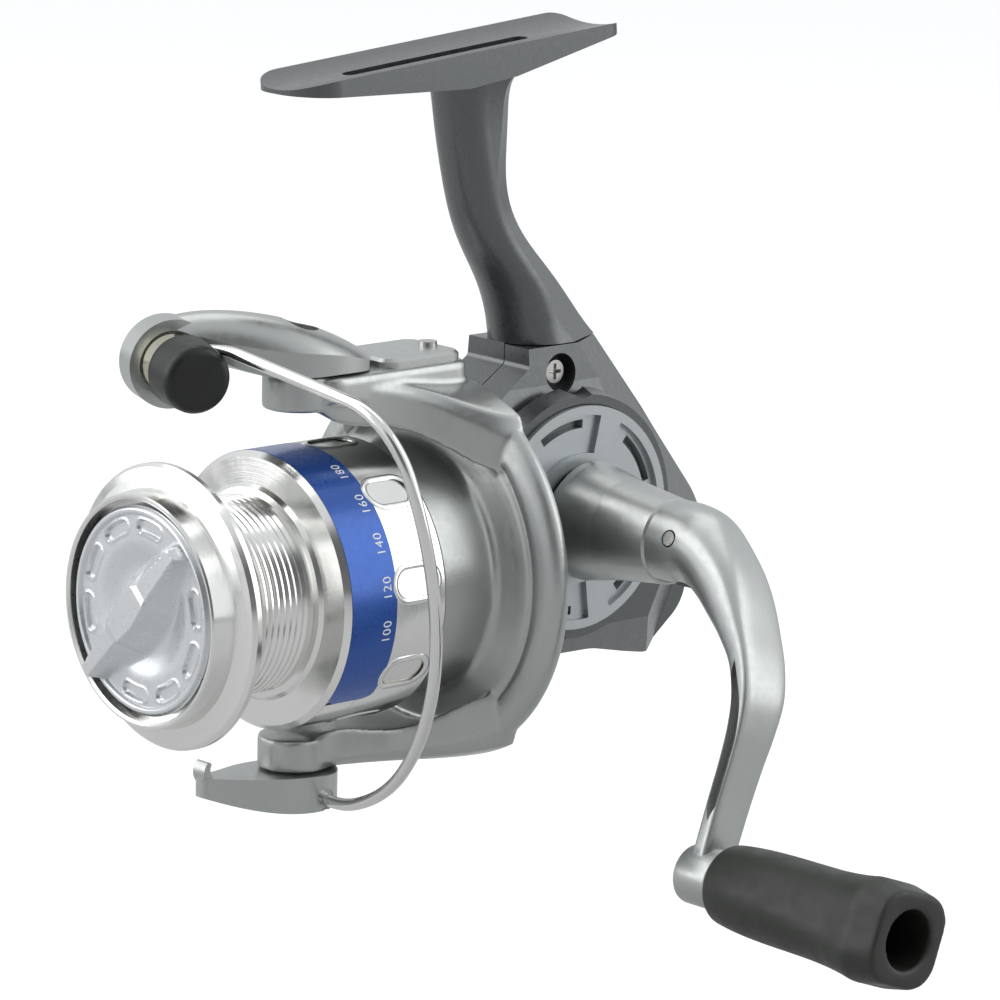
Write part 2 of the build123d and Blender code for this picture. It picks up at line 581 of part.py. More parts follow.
SLIDER_X0, SLIDER_X1 = -3.7, 2.25
SHAFT_TAIL = 47.6
slot_y = OSC_Y - STROKE / 2
with BuildPart() as slider:
    with BuildSketch(side(SLIDER_X0)):
        with Locations((slot_y, OSC_Z)):
            RectangleRounded(6.6, 2 * (STROKE / 2 + 1.2) + 3.2, 1.6)
        with Locations((slot_y + 0.2, -7.0)):
            Rectangle(4.0, 11.0)
    extrude(amount=SLIDER_X1 - SLIDER_X0)
    with BuildSketch(side(SLIDER_X0)):
        with Locations((slot_y, OSC_Z)):
            SlotOverall(2 * (STROKE / 2 + 1.2) + 0.6, 3.0, rotation=90)
    extrude(amount=1.1, mode=Mode.SUBTRACT)
    with BuildSketch(front(60)):
        with Locations((GUIDE_X, GUIDE_Z)):
            Circle(GUIDE_R + RUN)
    extrude(amount=40, mode=Mode.SUBTRACT)
    ring(30, 60, SHAFT_R + FIT, mode=Mode.SUBTRACT)
save(slider, "slider")

with BuildPart() as slider_screw:
    ring(SHAFT_TAIL, SHAFT_TAIL + 0.9, 2.2)
    ring(SHAFT_TAIL - 3.0, SHAFT_TAIL, 0.8)
    with BuildSketch(front(SHAFT_TAIL + 0.4)):
        Rectangle(3.0, 0.6)
    extrude(amount=-1.0, mode=Mode.SUBTRACT)
save(slider_screw, "slider_screw")

SHAFT_FRONT = -47.9
with BuildPart() as main_shaft:
    ring(SHAFT_FRONT, SHAFT_TAIL, SHAFT_R)
    ring(SHAFT_TAIL - 3.05, SHAFT_TAIL + 1, 0.82, mode=Mode.SUBTRACT)
    chamfer(main_shaft.edges().sort_by(Axis.Y)[0], 0.4)
save(main_shaft, "main_shaft")

with BuildPart() as oscillation_screw:
    with BuildSketch(side(OSC_X + OSC_T + 0.45)):
        with Locations((OSC_Y, OSC_Z)):
            Circle(3.0)
    extrude(amount=0.8)
save(oscillation_screw, "oscillation_screw")

# ---------------------------------------------------------------- rotor
RIM_IN_R = ROTOR_R - 1.8    # inside of the rotor rim
PIVOT_R = 1.5
PIVOT_HEAD_R = 2.9
PIVOT_TAP_R = 1.2
COVER_T = 1.4
ARM_COVER_Y0, ARM_COVER_Y1, ARM_COVER_HALF = -6.4, 9.8, 6.6
ARM_SCREW_Y = 7.6
POCKET_Y0, POCKET_Y1, POCKET_DEPTH = -4.6, 5.2, 3.0
BORE_R = 6.2
# station along the axis, half width, outer height at the middle and edge, inner height likewise
ARM_ROOT = [
    (ROTOR_BACK - 0.1, 20.5, ROTOR_R - 0.1, 24.0, 28.3, 19.5),
    (6.0, 18.0, ROTOR_R - 0.3, 25.5, 25.4, 18.0),
]
TOP_ARM = ARM_ROOT + [
    (-1.0, 11.5, 32.4, 29.6, 25.2, SKIRT_R + 0.45),
    (-9.0, 8.2, 33.4, 32.2, 26.6, 25.2),
    (BAIL_Y, HUB_R, ARM_TOP - 0.02, ARM_TOP - 0.4, ARM_TOP - 5.6, ARM_TOP - 5.8),
]
LOW_ARM = ARM_ROOT + [
    (-1.0, 11.5, 30.8, 28.0, 24.6, SKIRT_R + 0.45),
    (-9.0, 8.2, 30.0, 28.6, 24.0, 23.4),
    (BAIL_Y, HUB_R, ARM_LOW - 0.02, ARM_LOW - 0.4, ARM_LOW - 5.2, ARM_LOW - 5.4),
]


def arm_section(hand, y, half, outer, outer_edge, inner, inner_edge):
    """Cross-section of a rotor arm, curved outside and inside, with rounded outer corners."""
    round_x, round_z = half - 1.2, outer_edge + 0.35 * (outer - outer_edge)
    with BuildSketch(front(y)) as section:
        with BuildLine():
            ThreePointArc((-half, hand * inner_edge), (0, hand * inner), (half, hand * inner_edge))
            Line((half, hand * inner_edge), (half, hand * (outer_edge - 1.0)))
            Line((half, hand * (outer_edge - 1.0)), (round_x, hand * round_z))
            ThreePointArc((round_x, hand * round_z), (0, hand * outer), (-round_x, hand * round_z))
            Line((-round_x, hand * round_z), (-half, hand * (outer_edge - 1.0)))
            Line((-half, hand * (outer_edge - 1.0)), (-half, hand * inner_edge))
        make_face()
    return section.sketch


def rotor_arm(hand, stations, top, pillar):
    """One arm: it grows out of the rim and narrows smoothly to a round pillar at the pivot."""
    with BuildPart() as arm:
        loft([arm_section(hand, *station) for station in stations])
        with BuildSketch(level(hand * top)):
            with Locations((0, BAIL_Y)):
                Circle(HUB_R)
        extrude(amount=-hand * pillar)
        # room for the spool in front and the hollow of the rim behind
        clear = [(-40, 0), (14, 0), (14, RIM_IN_R), (9.3, RIM_IN_R), (8.7, 27.4)]
        clear += [(8.3, 25.4), (7.2, SKIRT_R + 0.5), (-40, SKIRT_R + 0.5)]
        turned(clear, mode=Mode.SUBTRACT)
    return arm.part


with BuildPart() as rotor:
    # the drum flares smoothly into the bowl; a groove sets off the broad rim
    with BuildSketch(side()):
        with BuildLine():
            Line((DRUM_FRONT, DRUM_R - DRUM_T), (DRUM_FRONT, DRUM_R))
            Line((DRUM_FRONT, DRUM_R), (3.8, DRUM_R))
            Spline(
                (3.8, DRUM_R),
                (5.4, 21.6),
                (6.2, 23.8),
                (6.9, 26.1),
                tangents=[(1, 0), (0.35, 1)],
            )
            Polyline((6.9, 26.1), (7.5, 26.2), (7.5, 26.8), (6.8, 27.0))
            Spline((6.8, 27.0), (7.3, 29.2), (8.4, ROTOR_R - 0.6), (ROTOR_BACK - 1.2, ROTOR_R))
            Polyline((ROTOR_BACK - 1.2, ROTOR_R), (ROTOR_BACK, ROTOR_R - 0.3), (ROTOR_BACK, RIM_IN_R))
            Polyline((ROTOR_BACK, RIM_IN_R), (9.3, RIM_IN_R), (8.7, 27.4), (8.3, 25.4), (7.2, 22.2))
            Polyline((7.2, 22.2), (5.6, DRUM_R - DRUM_T), (HUB_FRONT + 2.0, DRUM_R - DRUM_T))
            Polyline((HUB_FRONT + 2.0, DRUM_R - DRUM_T), (HUB_FRONT + 2.0, BORE_R), (HUB_BACK, BORE_R))
            Polyline((HUB_BACK, BORE_R), (HUB_BACK, 4.6), (3.1, 4.6), (3.1, PINION_FLAT_R + FIT))
            Line((3.1, PINION_FLAT_R + FIT), (HUB_FRONT, PINION_FLAT_R + FIT))
            Line((HUB_FRONT, PINION_FLAT_R + FIT), (HUB_FRONT, DRUM_R - DRUM_T))
            Line((HUB_FRONT, DRUM_R - DRUM_T), (DRUM_FRONT, DRUM_R - DRUM_T))
        make_face()
    revolve(axis=SPOOL_AXIS)
    add(rotor_arm(1, TOP_ARM, ARM_TOP, 5.6))
    add(rotor_arm(-1, LOW_ARM, ARM_LOW, 5.2))
    # flat seat of the arm cover, proud of the arm, with rounded edges
    with BuildPart() as seat:
        with BuildSketch(level(ARM_TOP)):
            with Locations((0, (BAIL_Y + ROTOR_BACK - 0.3) / 2)):
                RectangleRounded(2 * ARM_HALF - 0.4, ROTOR_BACK - 0.3 - BAIL_Y, 3.0)
        extrude(amount=-4.2)
        fillet(seat.edges().group_by(Axis.Z)[-1], 1.0)
    add(seat.part)
    # spring pocket under the arm cover
    with BuildSketch(level(ARM_TOP)):
        with Locations((0, (POCKET_Y0 + POCKET_Y1) / 2)):
            RectangleRounded(2 * ARM_COVER_HALF - 3.6, POCKET_Y1 - POCKET_Y0, 2.0)
    extrude(amount=-POCKET_DEPTH, mode=Mode.SUBTRACT)
    # pivot bores
    for z, depth in ((ARM_TOP, -4.6), (-ARM_LOW, 4.0)):
        with BuildSketch(level(z)):
            with Locations((0, BAIL_Y)):
                Circle(PIVOT_TAP_R)
        extrude(amount=depth, mode=Mode.SUBTRACT)
    # screw hole of the arm cover
    with BuildSketch(level(ARM_TOP)):
        with Locations((0, ARM_SCREW_Y)):
            Circle(0.77)
    extrude(amount=-3.8, mode=Mode.SUBTRACT)
save(rotor, "rotor")

with BuildPart() as rotor_nut:
    with BuildSketch(front(NUT_BACK)):
        RegularPolygon(6.5, 6)
        Circle(PINION_FLAT_R + FIT, mode=Mode.SUBTRACT)
    extrude(amount=NUT_BACK - NUT_FRONT)
save(rotor_nut, "rotor_nut")

with BuildPart() as arm_cover:
    with BuildSketch(level(ARM_TOP)):
        with Locations((0, (ARM_COVER_Y0 + ARM_COVER_Y1) / 2)):
            RectangleRounded(2 * ARM_COVER_HALF, ARM_COVER_Y1 - ARM_COVER_Y0, 2.6)
        with Locations((0, ARM_SCREW_Y)):
            Circle(0.85, mode=Mode.SUBTRACT)
    extrude(amount=COVER_T)
    chamfer(arm_cover.faces().sort_by(Axis.Z)[-1].outer_wire().edges(), 0.5)
save(arm_cover, "arm_cover")

with BuildPart() as arm_cover_screw:
    with BuildSketch(level(ARM_TOP + COVER_T)):
        with Locations((0, ARM_SCREW_Y)):
            Circle(1.5)
    extrude(amount=0.7)
    with BuildSketch(level(ARM_TOP + COVER_T)):
        with Locations((0, ARM_SCREW_Y)):
            Circle(0.75)
    extrude(amount=-COVER_T - 2.8)
save(arm_cover_screw, "arm_cover_screw")

# ---------------------------------------------------------------- bail
ROLLER_AT = Vector(-9.2, -37.6, 36.2)      # middle of the roller pocket face
ROLLER_DIR = Vector(0.952, -0.300, -0.05)
roller_plane = Plane(
    origin=(ROLLER_AT.X, ROLLER_AT.Y - SEAT_BACK, ROLLER_AT.Z - SHAFT_DROP),
    x_dir=Vector(0.300, 0.954, 0.0),
    z_dir=ROLLER_DIR,
)
BAIL_LEAN = 13.6           # the bail wire leans back towards its foot
BAIL_BASE = -26.6
ARM_GAP = GAP


def turned_roller(points, mode=Mode.ADD):
    """Turn a (radius, along) outline about the line roller axis."""
    plane = Plane(roller_plane.origin, x_dir=roller_plane.x_dir, z_dir=-roller_plane.y_dir)
    with BuildSketch(plane) as outline:
        with BuildLine():
            Polyline(*points, close=True)
        make_face()
    revolve(outline.sketch, axis=Axis(roller_plane.origin, roller_plane.z_dir), mode=mode)


BOSS_OUT_R, BOSS_BACK_T, BOSS_FRONT_T = 7.1, -4.0, 1.4
BOSS_EDGE = 1.2
ARM_SEAT = ARM_TOP + ARM_GAP
# station along the axis, middle to the right, half width, crest, underside
BAIL_ARM = [
    (-6.4, 0.4, 3.4, 36.0, ARM_SEAT),
    (-11.0, 0.2, 6.4, 38.6, ARM_SEAT),
    (-19.0, -1.0, 7.6, 42.0, ARM_SEAT),
    (-28.0, -5.2, 6.8, 43.9, ARM_SEAT + 0.4),
    (-35.0, -9.4, 4.8, 43.5, ARM_SEAT + 3.8),
    (-41.0, -12.0, 2.9, 41.2, ARM_SEAT + 4.4),
]


def bail_arm_section(y, middle, half, crest, low):
    """Cross-section of the bail arm: flat sides and a domed crest."""
    edge = low + 0.45 * (crest - low)
    with BuildSketch(front(y)) as section:
        with BuildLine():
            left, right = middle - half, middle + half
            Polyline((left, edge), (left, low), (right, low), (right, edge))
            ThreePointArc((right, edge), (middle, crest), (left, edge))
        make_face()
    return section.sketch


with BuildPart() as bail_arm:
    loft([bail_arm_section(*station) for station in BAIL_ARM])
    # the end over the rotor arm is round
    with BuildSketch(level(ARM_TOP)):
        with Locations((0.2, -14.6)):
            Circle(7.6)
        with Locations((-10.0, -39.6)):
            Rectangle(40.0, 50.0)
    extrude(amount=20.0, mode=Mode.INTERSECT)
    with BuildSketch(roller_plane.offset(BOSS_BACK_T)):
        Circle(BOSS_OUT_R)
    extrude(amount=BOSS_FRONT_T - BOSS_BACK_T)
    turned_roller(
        [
            (BOSS_OUT_R - BOSS_EDGE, BOSS_BACK_T - 1),
            (BOSS_OUT_R + 1, BOSS_BACK_T - 1),
            (BOSS_OUT_R + 1, BOSS_BACK_T + BOSS_EDGE + 1),
        ],
        mode=Mode.SUBTRACT,
    )
    # pocket for the roller
    turned_roller([(0, 0.2), (5.4, 0.2), (5.4, 12), (0, 12)], mode=Mode.SUBTRACT)
    turned_roller([(0, -2.6), (1.25, -2.6), (1.25, 1), (0, 1)], mode=Mode.SUBTRACT)
    # pivot bore, counterbored from above
    with BuildSketch(level(ARM_TOP)):
        with Locations((0, BAIL_Y)):
            Circle(PIVOT_R + RUN)
    extrude(amount=20, mode=Mode.SUBTRACT)
    with BuildSketch(level(ARM_TOP + 3.0)):
        with Locations((0, BAIL_Y)):
            Circle(PIVOT_HEAD_R + RUN)
    extrude(amount=20, mode=Mode.SUBTRACT)
save(bail_arm, "bail_arm")

with BuildPart() as line_roller:
    turned_roller([(2.2, 0.5), (4.9, 0.5), (4.9, 1.2), (3.7, 2.6), (3.7, 3.6), (4.7, 4.9), (2.2, 4.9)])
save(line_roller, "line_roller")

with BuildPart() as roller_bush:
    turned_roller([(1.22, 0.2), (2.15, 0.2), (2.15, 5.2), (1.22, 5.2)])
save(roller_bush, "roller_bush")

with BuildPart() as roller_screw:
    turned_roller([(0, -2.5), (1.2, -2.5), (1.2, 8.0), (0, 8.0)])
save(roller_screw, "roller_screw")

CAP_R0, CAP_R1, CAP_FRONT = 5.7, 5.2, 13.0
wire_plane = Plane(
    origin=(0, BAIL_BASE - SEAT_BACK, -SHAFT_DROP),
    x_dir=(1, 0, 0),
    z_dir=(0, -cos(radians(BAIL_LEAN)), -sin(radians(BAIL_LEAN))),
)
WIRE_START, WIRE_BEND = (6.6, 40.6), (31.0, 37.3)
WIRE_END = (6.0, -34.3)
with BuildPart() as bail_wire:
    with BuildLine(wire_plane) as route:
        straight = Line(WIRE_START, WIRE_BEND)
        bend = TangentArc(straight @ 1, (42.6, 26.5), tangent=straight % 1)
        bow = TangentArc(bend @ 1, (42.2, 0.0), tangent=bend % 1)
        turn = TangentArc(bow @ 1, (28.4, -25.0), tangent=bow % 1)
        foot_bend = TangentArc(turn @ 1, (14.6, -33.7), tangent=turn % 1)
        last = TangentArc(foot_bend @ 1, WIRE_END, tangent=foot_bend % 1)
    with BuildSketch(Plane(origin=straight @ 0, z_dir=straight % 0)):
        Circle(WIRE_R)
    sweep(path=route.line)
save(bail_wire, "bail_wire")

# the cap ends in a short socket that takes the wire
wire_start = wire_plane.from_local_coords(Vector(*WIRE_START))
bail_wire_dir = (wire_plane.from_local_coords(Vector(*WIRE_BEND)) - wire_start).normalized()
with BuildPart() as roller_cap:
    turned_roller(
        [
            (0, 5.3),
            (CAP_R0 - 0.3, 5.3),
            (CAP_R0, 5.8),
            (CAP_R1, CAP_FRONT - 0.9),
            (CAP_R1 - 0.3, CAP_FRONT - 0.3),
            (CAP_R1 - 0.9, CAP_FRONT),
            (0, CAP_FRONT),
        ]
    )
    with BuildSketch(Plane(origin=wire_start + bail_wire_dir * 0.8, z_dir=-bail_wire_dir)):
        Circle(2.0)
    extrude(amount=6.4, taper=4)
    with BuildSketch(Plane(origin=wire_start + bail_wire_dir * 2.0, z_dir=-bail_wire_dir)):
        Circle(WIRE_R + FIT)
    extrude(amount=2.0, mode=Mode.SUBTRACT)
    turned_roller([(0, 5.0), (1.25, 5.0), (1.25, 8.1), (0, 8.1)], mode=Mode.SUBTRACT)
save(roller_cap, "roller_cap")

LEVER_T = 5.8
SOCKET_R = 1.75
wire_end = wire_plane.from_local_coords(Vector(*WIRE_END))
wire_end_dir = (last % 1).normalized()
with BuildPart() as bail_lever:
    lever_top = -ARM_LOW - ARM_GAP
    low = lever_top - LEVER_T
    with BuildSketch(level(lever_top)):
        with BuildLine():
            ThreePointArc((-6.2, -18.0), (-1.0, -12.8), (5.6, -14.6))
            Spline((5.6, -14.6), (7.3, -17.5), (6.6, -22.0), (3.2, -28.5), (-2.2, -34.2))
            ThreePointArc((-2.2, -34.2), (-4.4, -35.2), (-5.6, -33.2))
            Spline((-5.6, -33.2), (-6.6, -26.0), (-6.2, -18.0), tangents=[(0.2, 1), (0.1, 1)])
        make_face()
    extrude(amount=-LEVER_T)
    # the underside rises towards the hook and towards the wire
    with BuildSketch(side(-30)):
        with BuildLine():
            keel = [(-9.0, low + 2.4), (-15.0, low + 0.7), (-22.0, low), (-29.0, low + 0.8)]
            Spline(*keel, (-37.0, low + 3.4))
            Polyline((-37.0, low + 3.4), (-37.0, low - 2.0), (-9.0, low - 2.0), (-9.0, low + 2.4))
        make_face()
    extrude(amount=60, mode=Mode.SUBTRACT)
    # curled horn that keeps the line from slipping under the wire
    with BuildSketch(side(-5.3)):
        with BuildLine():
            ThreePointArc((-34.2, lever_top - 1.2), (-35.2, lever_top + 0.8), (-34.6, lever_top + 2.3))
            ThreePointArc((-34.6, lever_top + 2.3), (-34.0, lever_top + 2.5), (-33.7, lever_top + 2.0))
            ThreePointArc((-33.7, lever_top + 2.0), (-33.9, lever_top + 0.9), (-32.6, lever_top - 0.2))
            Line((-32.6, lever_top - 0.2), (-34.2, lever_top - 1.2))
        make_face()
    extrude(amount=2.8)
    # socket of the wire, wider at its mouth
    for radius, deepest in ((WIRE_R + FIT, 0.0), (SOCKET_R, 1.0)):
        with BuildSketch(Plane(origin=wire_end - wire_end_dir * deepest, z_dir=-wire_end_dir)):
            Circle(radius)
        extrude(amount=4.0, mode=Mode.SUBTRACT)
    with BuildSketch(level(-60)):
        with Locations((0, BAIL_Y)):
            Circle(PIVOT_R + RUN)
    extrude(amount=60, mode=Mode.SUBTRACT)
    with BuildSketch(level(-ARM_LOW - 3.0)):
        with Locations((0, BAIL_Y)):
            Circle(PIVOT_HEAD_R + RUN)
    extrude(amount=-20, mode=Mode.SUBTRACT)
save(bail_lever, "bail_lever")

with BuildPart() as pivot_screws:
    for hand, face, depth in ((1, ARM_TOP, 4.4), (-1, ARM_LOW, 3.8)):
        with BuildSketch(level(hand * face)):
            with Locations((0, BAIL_Y)):
                Circle(PIVOT_R)
        extrude(amount=hand * 3.05)
        with BuildSketch(level(hand * face)):
            with Locations((0, BAIL_Y)):
                Circle(1.2 - FIT)
        extrude(amount=-hand * depth)
        with BuildSketch(level(hand * (face + 3.05))):
            with Locations((0, BAIL_Y)):
                Circle(PIVOT_HEAD_R)
        extrude(amount=hand * 1.4)
        with BuildSketch(level(hand * (face + 4.45))):
            with Locations((0, BAIL_Y)):
                Rectangle(4.0, 0.8)
                Rectangle(0.8, 4.0)
        extrude(amount=-hand * 0.8, mode=Mode.SUBTRACT)
save(pivot_screws, "pivot_screws")

with BuildPart() as bail_spring:
    with BuildLine(level(ARM_TOP - 1.6)) as spring_route:
        foot, bow = POCKET_Y0 + 1.2, POCKET_Y1 - 1.2
        FilletPolyline((-3.2, foot), (-3.2, bow), (3.2, bow), (3.2, foot), radius=[2.6, 2.6])
    with BuildSketch(Plane(origin=spring_route.line @ 0, z_dir=spring_route.line % 0)):
        Circle(0.55)
    sweep(path=spring_route.line)
save(bail_spring, "bail_spring")

# ---------------------------------------------------------------- spool and drag
HUB_BORE_R, HUB_OUT_R = 3.05, 5.4
SLEEVE_R = HUB_BORE_R - RUN
POCKET_R, POCKET_BACK = 12.6, -40.6
KNOB_CLEAR, RIM_WALL = 0.95, 0.9
RECESS_R, RECESS_BACK = KNOB_R + KNOB_CLEAR, -46.6
RIM_R = RECESS_R + RIM_WALL
SPOOL_HUB_BACK = -26.0
GROOVES = 10
with BuildPart() as spool:
    pitch = (ARBOR_BACK - ARBOR_FRONT - 1.6) / GROOVES
    arbor = []
    for k in range(GROOVES):
        y = ARBOR_FRONT + 0.6 + k * pitch
        arbor += [(y + 0.15 * pitch, ARBOR_R), (y + 0.5 * pitch, ARBOR_R - 0.4), (y + 0.85 * pitch, ARBOR_R)]
    body = [(RECESS_BACK, RECESS_R), (RIM_Y + 0.3, RECESS_R), (RIM_Y, RECESS_R + 0.4), (RIM_Y, RIM_R - 0.2)]
    body += [(RIM_Y + 0.3, RIM_R), (-46.8, RIM_R + 0.5), (-46.2, SPOOL_LIP_R - 1.9)]
    body += [(SPOOL_LIP_Y - 0.9, SPOOL_LIP_R - 0.6), (SPOOL_LIP_Y - 0.3, SPOOL_LIP_R)]
    body += [(SPOOL_LIP_Y + 0.6, SPOOL_LIP_R), (SPOOL_LIP_Y + 1.2, SPOOL_LIP_R - 0.5)]
    body += [(-43.0, 19.6), (ARBOR_FRONT, ARBOR_R)] + arbor
    body += [(ARBOR_BACK, ARBOR_R), (ARBOR_BACK + 0.3, ARBOR_R + 0.9)]
    body += [(SKIRT_FRONT - 0.6, 17.2), (SKIRT_FRONT, SKIRT_R - 0.85), (SKIRT_FRONT + 0.9, SKIRT_R)]
    body += [(BAND_FRONT, SKIRT_R), (BAND_FRONT, SKIRT_R - BAND_T), (BAND_BACK, SKIRT_R - BAND_T)]
    body += [(BAND_BACK, SKIRT_R)]
    body += [(SKIRT_BACK - 0.6, SKIRT_R), (SKIRT_BACK, SKIRT_R - 0.4), (SKIRT_BACK, SKIRT_R - SKIRT_T)]
    body += [(-25.2, SKIRT_R - SKIRT_T), (-25.6, 14.2), (-38.6, 14.2), (-38.6, HUB_OUT_R)]
    body += [(SPOOL_HUB_BACK, HUB_OUT_R), (SPOOL_HUB_BACK, HUB_BORE_R), (POCKET_BACK, HUB_BORE_R)]
    body += [(POCKET_BACK, POCKET_R), (RECESS_BACK, POCKET_R)]
    turned(body)
    # shallow stadium dimples round the skirt
    for k in range(9):
        a = radians(20 + 40 * k)
        face_plane = Plane(
            origin=(SKIRT_R * cos(a), (SKIRT_BACK - 6.2) - SEAT_BACK, SKIRT_R * sin(a) - SHAFT_DROP),
            x_dir=(0, 1, 0),
            z_dir=(cos(a), 0, sin(a)),
        )
        with BuildSketch(face_plane.offset(1.0)) as dimple:
            SlotOverall(9.0, 5.6)
        extrude(dimple.sketch, amount=-1.35, mode=Mode.SUBTRACT)
save(spool, "spool")

with BuildPart() as spool_band:
    ring(BAND_FRONT + 0.02, BAND_BACK - 0.02, SKIRT_R, SKIRT_R - BAND_T + FIT)
save(spool_band, "spool_band")

with BuildPart() as spool_sleeve:
    ring(-40.0, -25.6, SLEEVE_R, SHAFT_R + FIT)
    ring(-25.7, -24.2, 5.2, SHAFT_R + FIT)
    with BuildSketch(front(-24.2)):
        Rectangle(7.0, 1.6)
    extrude(amount=0.9, mode=Mode.SUBTRACT)
save(spool_sleeve, "spool_sleeve")

with BuildPart() as click_gear:
    with BuildSketch(front(-22.6)):
        add(spur_outline(18, 7.2, 0.7, 0.7, 0.0, slack=0.2))
        Circle(SHAFT_R + FIT, mode=Mode.SUBTRACT)
    extrude(amount=1.5)
save(click_gear, "click_gear")

WASHER_R = POCKET_R - 0.6
with BuildPart() as drag_felts:
    for y in (-40.6, -43.4):
        ring(y - 1.2, y, WASHER_R, 3.4)
save(drag_felts, "drag_felts")

with BuildPart() as drag_plates:
    for y in (-41.9, -44.7):
        ring(y - 1.3, y, WASHER_R - 0.3, 3.3)
save(drag_plates, "drag_plates")

with BuildPart() as drag_clip:
    ring(-46.45, -46.1, POCKET_R - 0.1, POCKET_R - 1.7)
    with BuildSketch(front(-46.0)):
        with Locations((0, -POCKET_R)):
            Rectangle(4.0, 4.0)
    extrude(amount=1.0, mode=Mode.SUBTRACT)
save(drag_clip, "drag_clip")

KNOB_BACK, KNOB_FACE, KNOB_TOP = -47.0, -50.4, -53.4
RIDGE_ANGLE = 47.0


def grip_outline(reach, tip, waist):
    """Lens across the knob face: half length, half width at the tips and at the middle."""
    with BuildSketch() as lens:
        with BuildLine():
            ThreePointArc((-reach, tip), (0, waist), (reach, tip))
            Line((reach, tip), (reach, -tip))
            ThreePointArc((reach, -tip), (0, -waist), (-reach, -tip))
            Line((-reach, -tip), (-reach, tip))
        make_face()
    return lens.sketch.rotate(Axis.Z, RIDGE_ANGLE)


with BuildPart() as drag_knob:
    disc = [(-46.15, 3.2), (-46.15, 8.0), (KNOB_BACK, 8.6), (KNOB_BACK, KNOB_R - 0.4)]
    disc += [(KNOB_BACK - 0.6, KNOB_R)]
    disc += [(KNOB_FACE + 0.7, KNOB_R), (KNOB_FACE, KNOB_R - 0.7), (KNOB_FACE, KNOB_R - 1.6)]
    disc += [(-49.7, KNOB_R - 2.2), (-49.7, 13.0), (-49.0, 9.0), (-48.9, 0.0), (KNOB_BACK - 1.6, 0.0)]
    disc += [(KNOB_BACK - 1.6, 3.2)]
    turned(disc)
    # raised grip across the face: wide and low at its foot, narrow at its top
    for y, reach, tip, waist in ((-48.6, KNOB_R - 0.6, 2.3, 5.6), (KNOB_TOP, KNOB_R - 1.8, 1.2, 1.9)):
        with BuildSketch(front(y)):
            add(grip_outline(reach, tip, waist))
    loft()
    for y, half_length, half_width in ((-50.5, 5.6, 3.9), (KNOB_TOP - 0.35, 3.6, 2.1)):
        with BuildSketch(front(y)):
            Rectangle(2 * half_length, 2 * half_width, rotation=RIDGE_ANGLE)
    loft()
    # eight shallow recesses near the edge
    with BuildSketch(front(KNOB_FACE)):
        with PolarLocations(13.3, 8, start_angle=RIDGE_ANGLE + 22.5):
            SlotOverall(4.4, 1.5, rotation=90)
    extrude(amount=-1.2, mode=Mode.SUBTRACT)
save(drag_knob, "drag_knob")

with BuildPart() as drag_nut:
    ring(KNOB_BACK - 1.55, -46.3, 3.15, SHAFT_R + FIT)
save(drag_nut, "drag_nut")

with BuildPart() as anti_reverse_lever:
    with BuildSketch(level(LEVER_TOP)):
        with Locations((LEVER_X, LEVER_Y)):
            Circle(3.4)
        with Locations((LEVER_X, LEVER_Y - 4.5)):
            SlotOverall(12.0, 3.6, rotation=90)
    extrude(amount=-1.8)
    with BuildSketch(level(LEVER_TOP - 1.8)):
        with Locations((LEVER_X, LEVER_Y - 8.6)):
            SlotOverall(3.4, 1.8)
    extrude(amount=-1.4)
    with BuildSketch(level(LEVER_TOP)):
        with Locations((LEVER_X, LEVER_Y)):
            Circle(LEVER_PEG_R)
    extrude(amount=LEVER_PEG_TOP - LEVER_TOP)
save(anti_reverse_lever, "anti_reverse_lever")

# ---------------------------------------------------------------- handle
HINGE_X, HINGE_PIN_R = 41.3, 1.15
TONGUE_X = 32.3            # shoulder where the tongue starts
COLLAR_BACK, COLLAR_END = 14.9, 36.0
BARREL_X, BARREL_R = 36.3, 6.9
KNOB_S = 49.0              # crank radius
TONGUE_T, TONGUE_HALF = 5.0, 3.0
STEM_R = 3.9
BOSS_X0, BOSS_X1, END_BOSS_R = 59.8, 67.0, 4.7
GRIP_X0, GRIP_X1 = 67.3, 106.5
# place along the handle axis, width and corner radius of the grip
GRIP_NECK, GRIP_FLARE = (GRIP_X0 + 1.0, 12.6, 6.2), (101.0, 16.4, 5.2)
AXLE_R, GRIP_HOLE_R, GRIP_HOLE_X = 2.25, 4.65, 79.0


def knob_plane(x):
    """Plane across the handle knob at x, drawn in (along the pin, along the crank)."""
    here = crank()
    origin = here.from_local_coords(Vector(x, KNOB_S, 0))
    return Plane(origin=origin, x_dir=-here.z_dir, z_dir=(1, 0, 0))


with BuildPart() as handle_collar:
    outline = [(COLLAR_BACK, STEM_R + RUN), (COLLAR_BACK, 8.4), (15.6, 8.4), (16.4, 9.6), (17.8, 9.6)]
    outline += [(25.0, 8.2), (COLLAR_END - 0.4, 6.95), (COLLAR_END, 6.6), (COLLAR_END, STEM_R + RUN)]
    turned(outline, axis=HANDLE_AXIS, plane=crank())
    gear_ring(BEARING_SEAT_X + FIT, COLLAR_BACK, BEARING_R - 1.6, STEM_R + RUN)
save(handle_collar, "handle_collar")

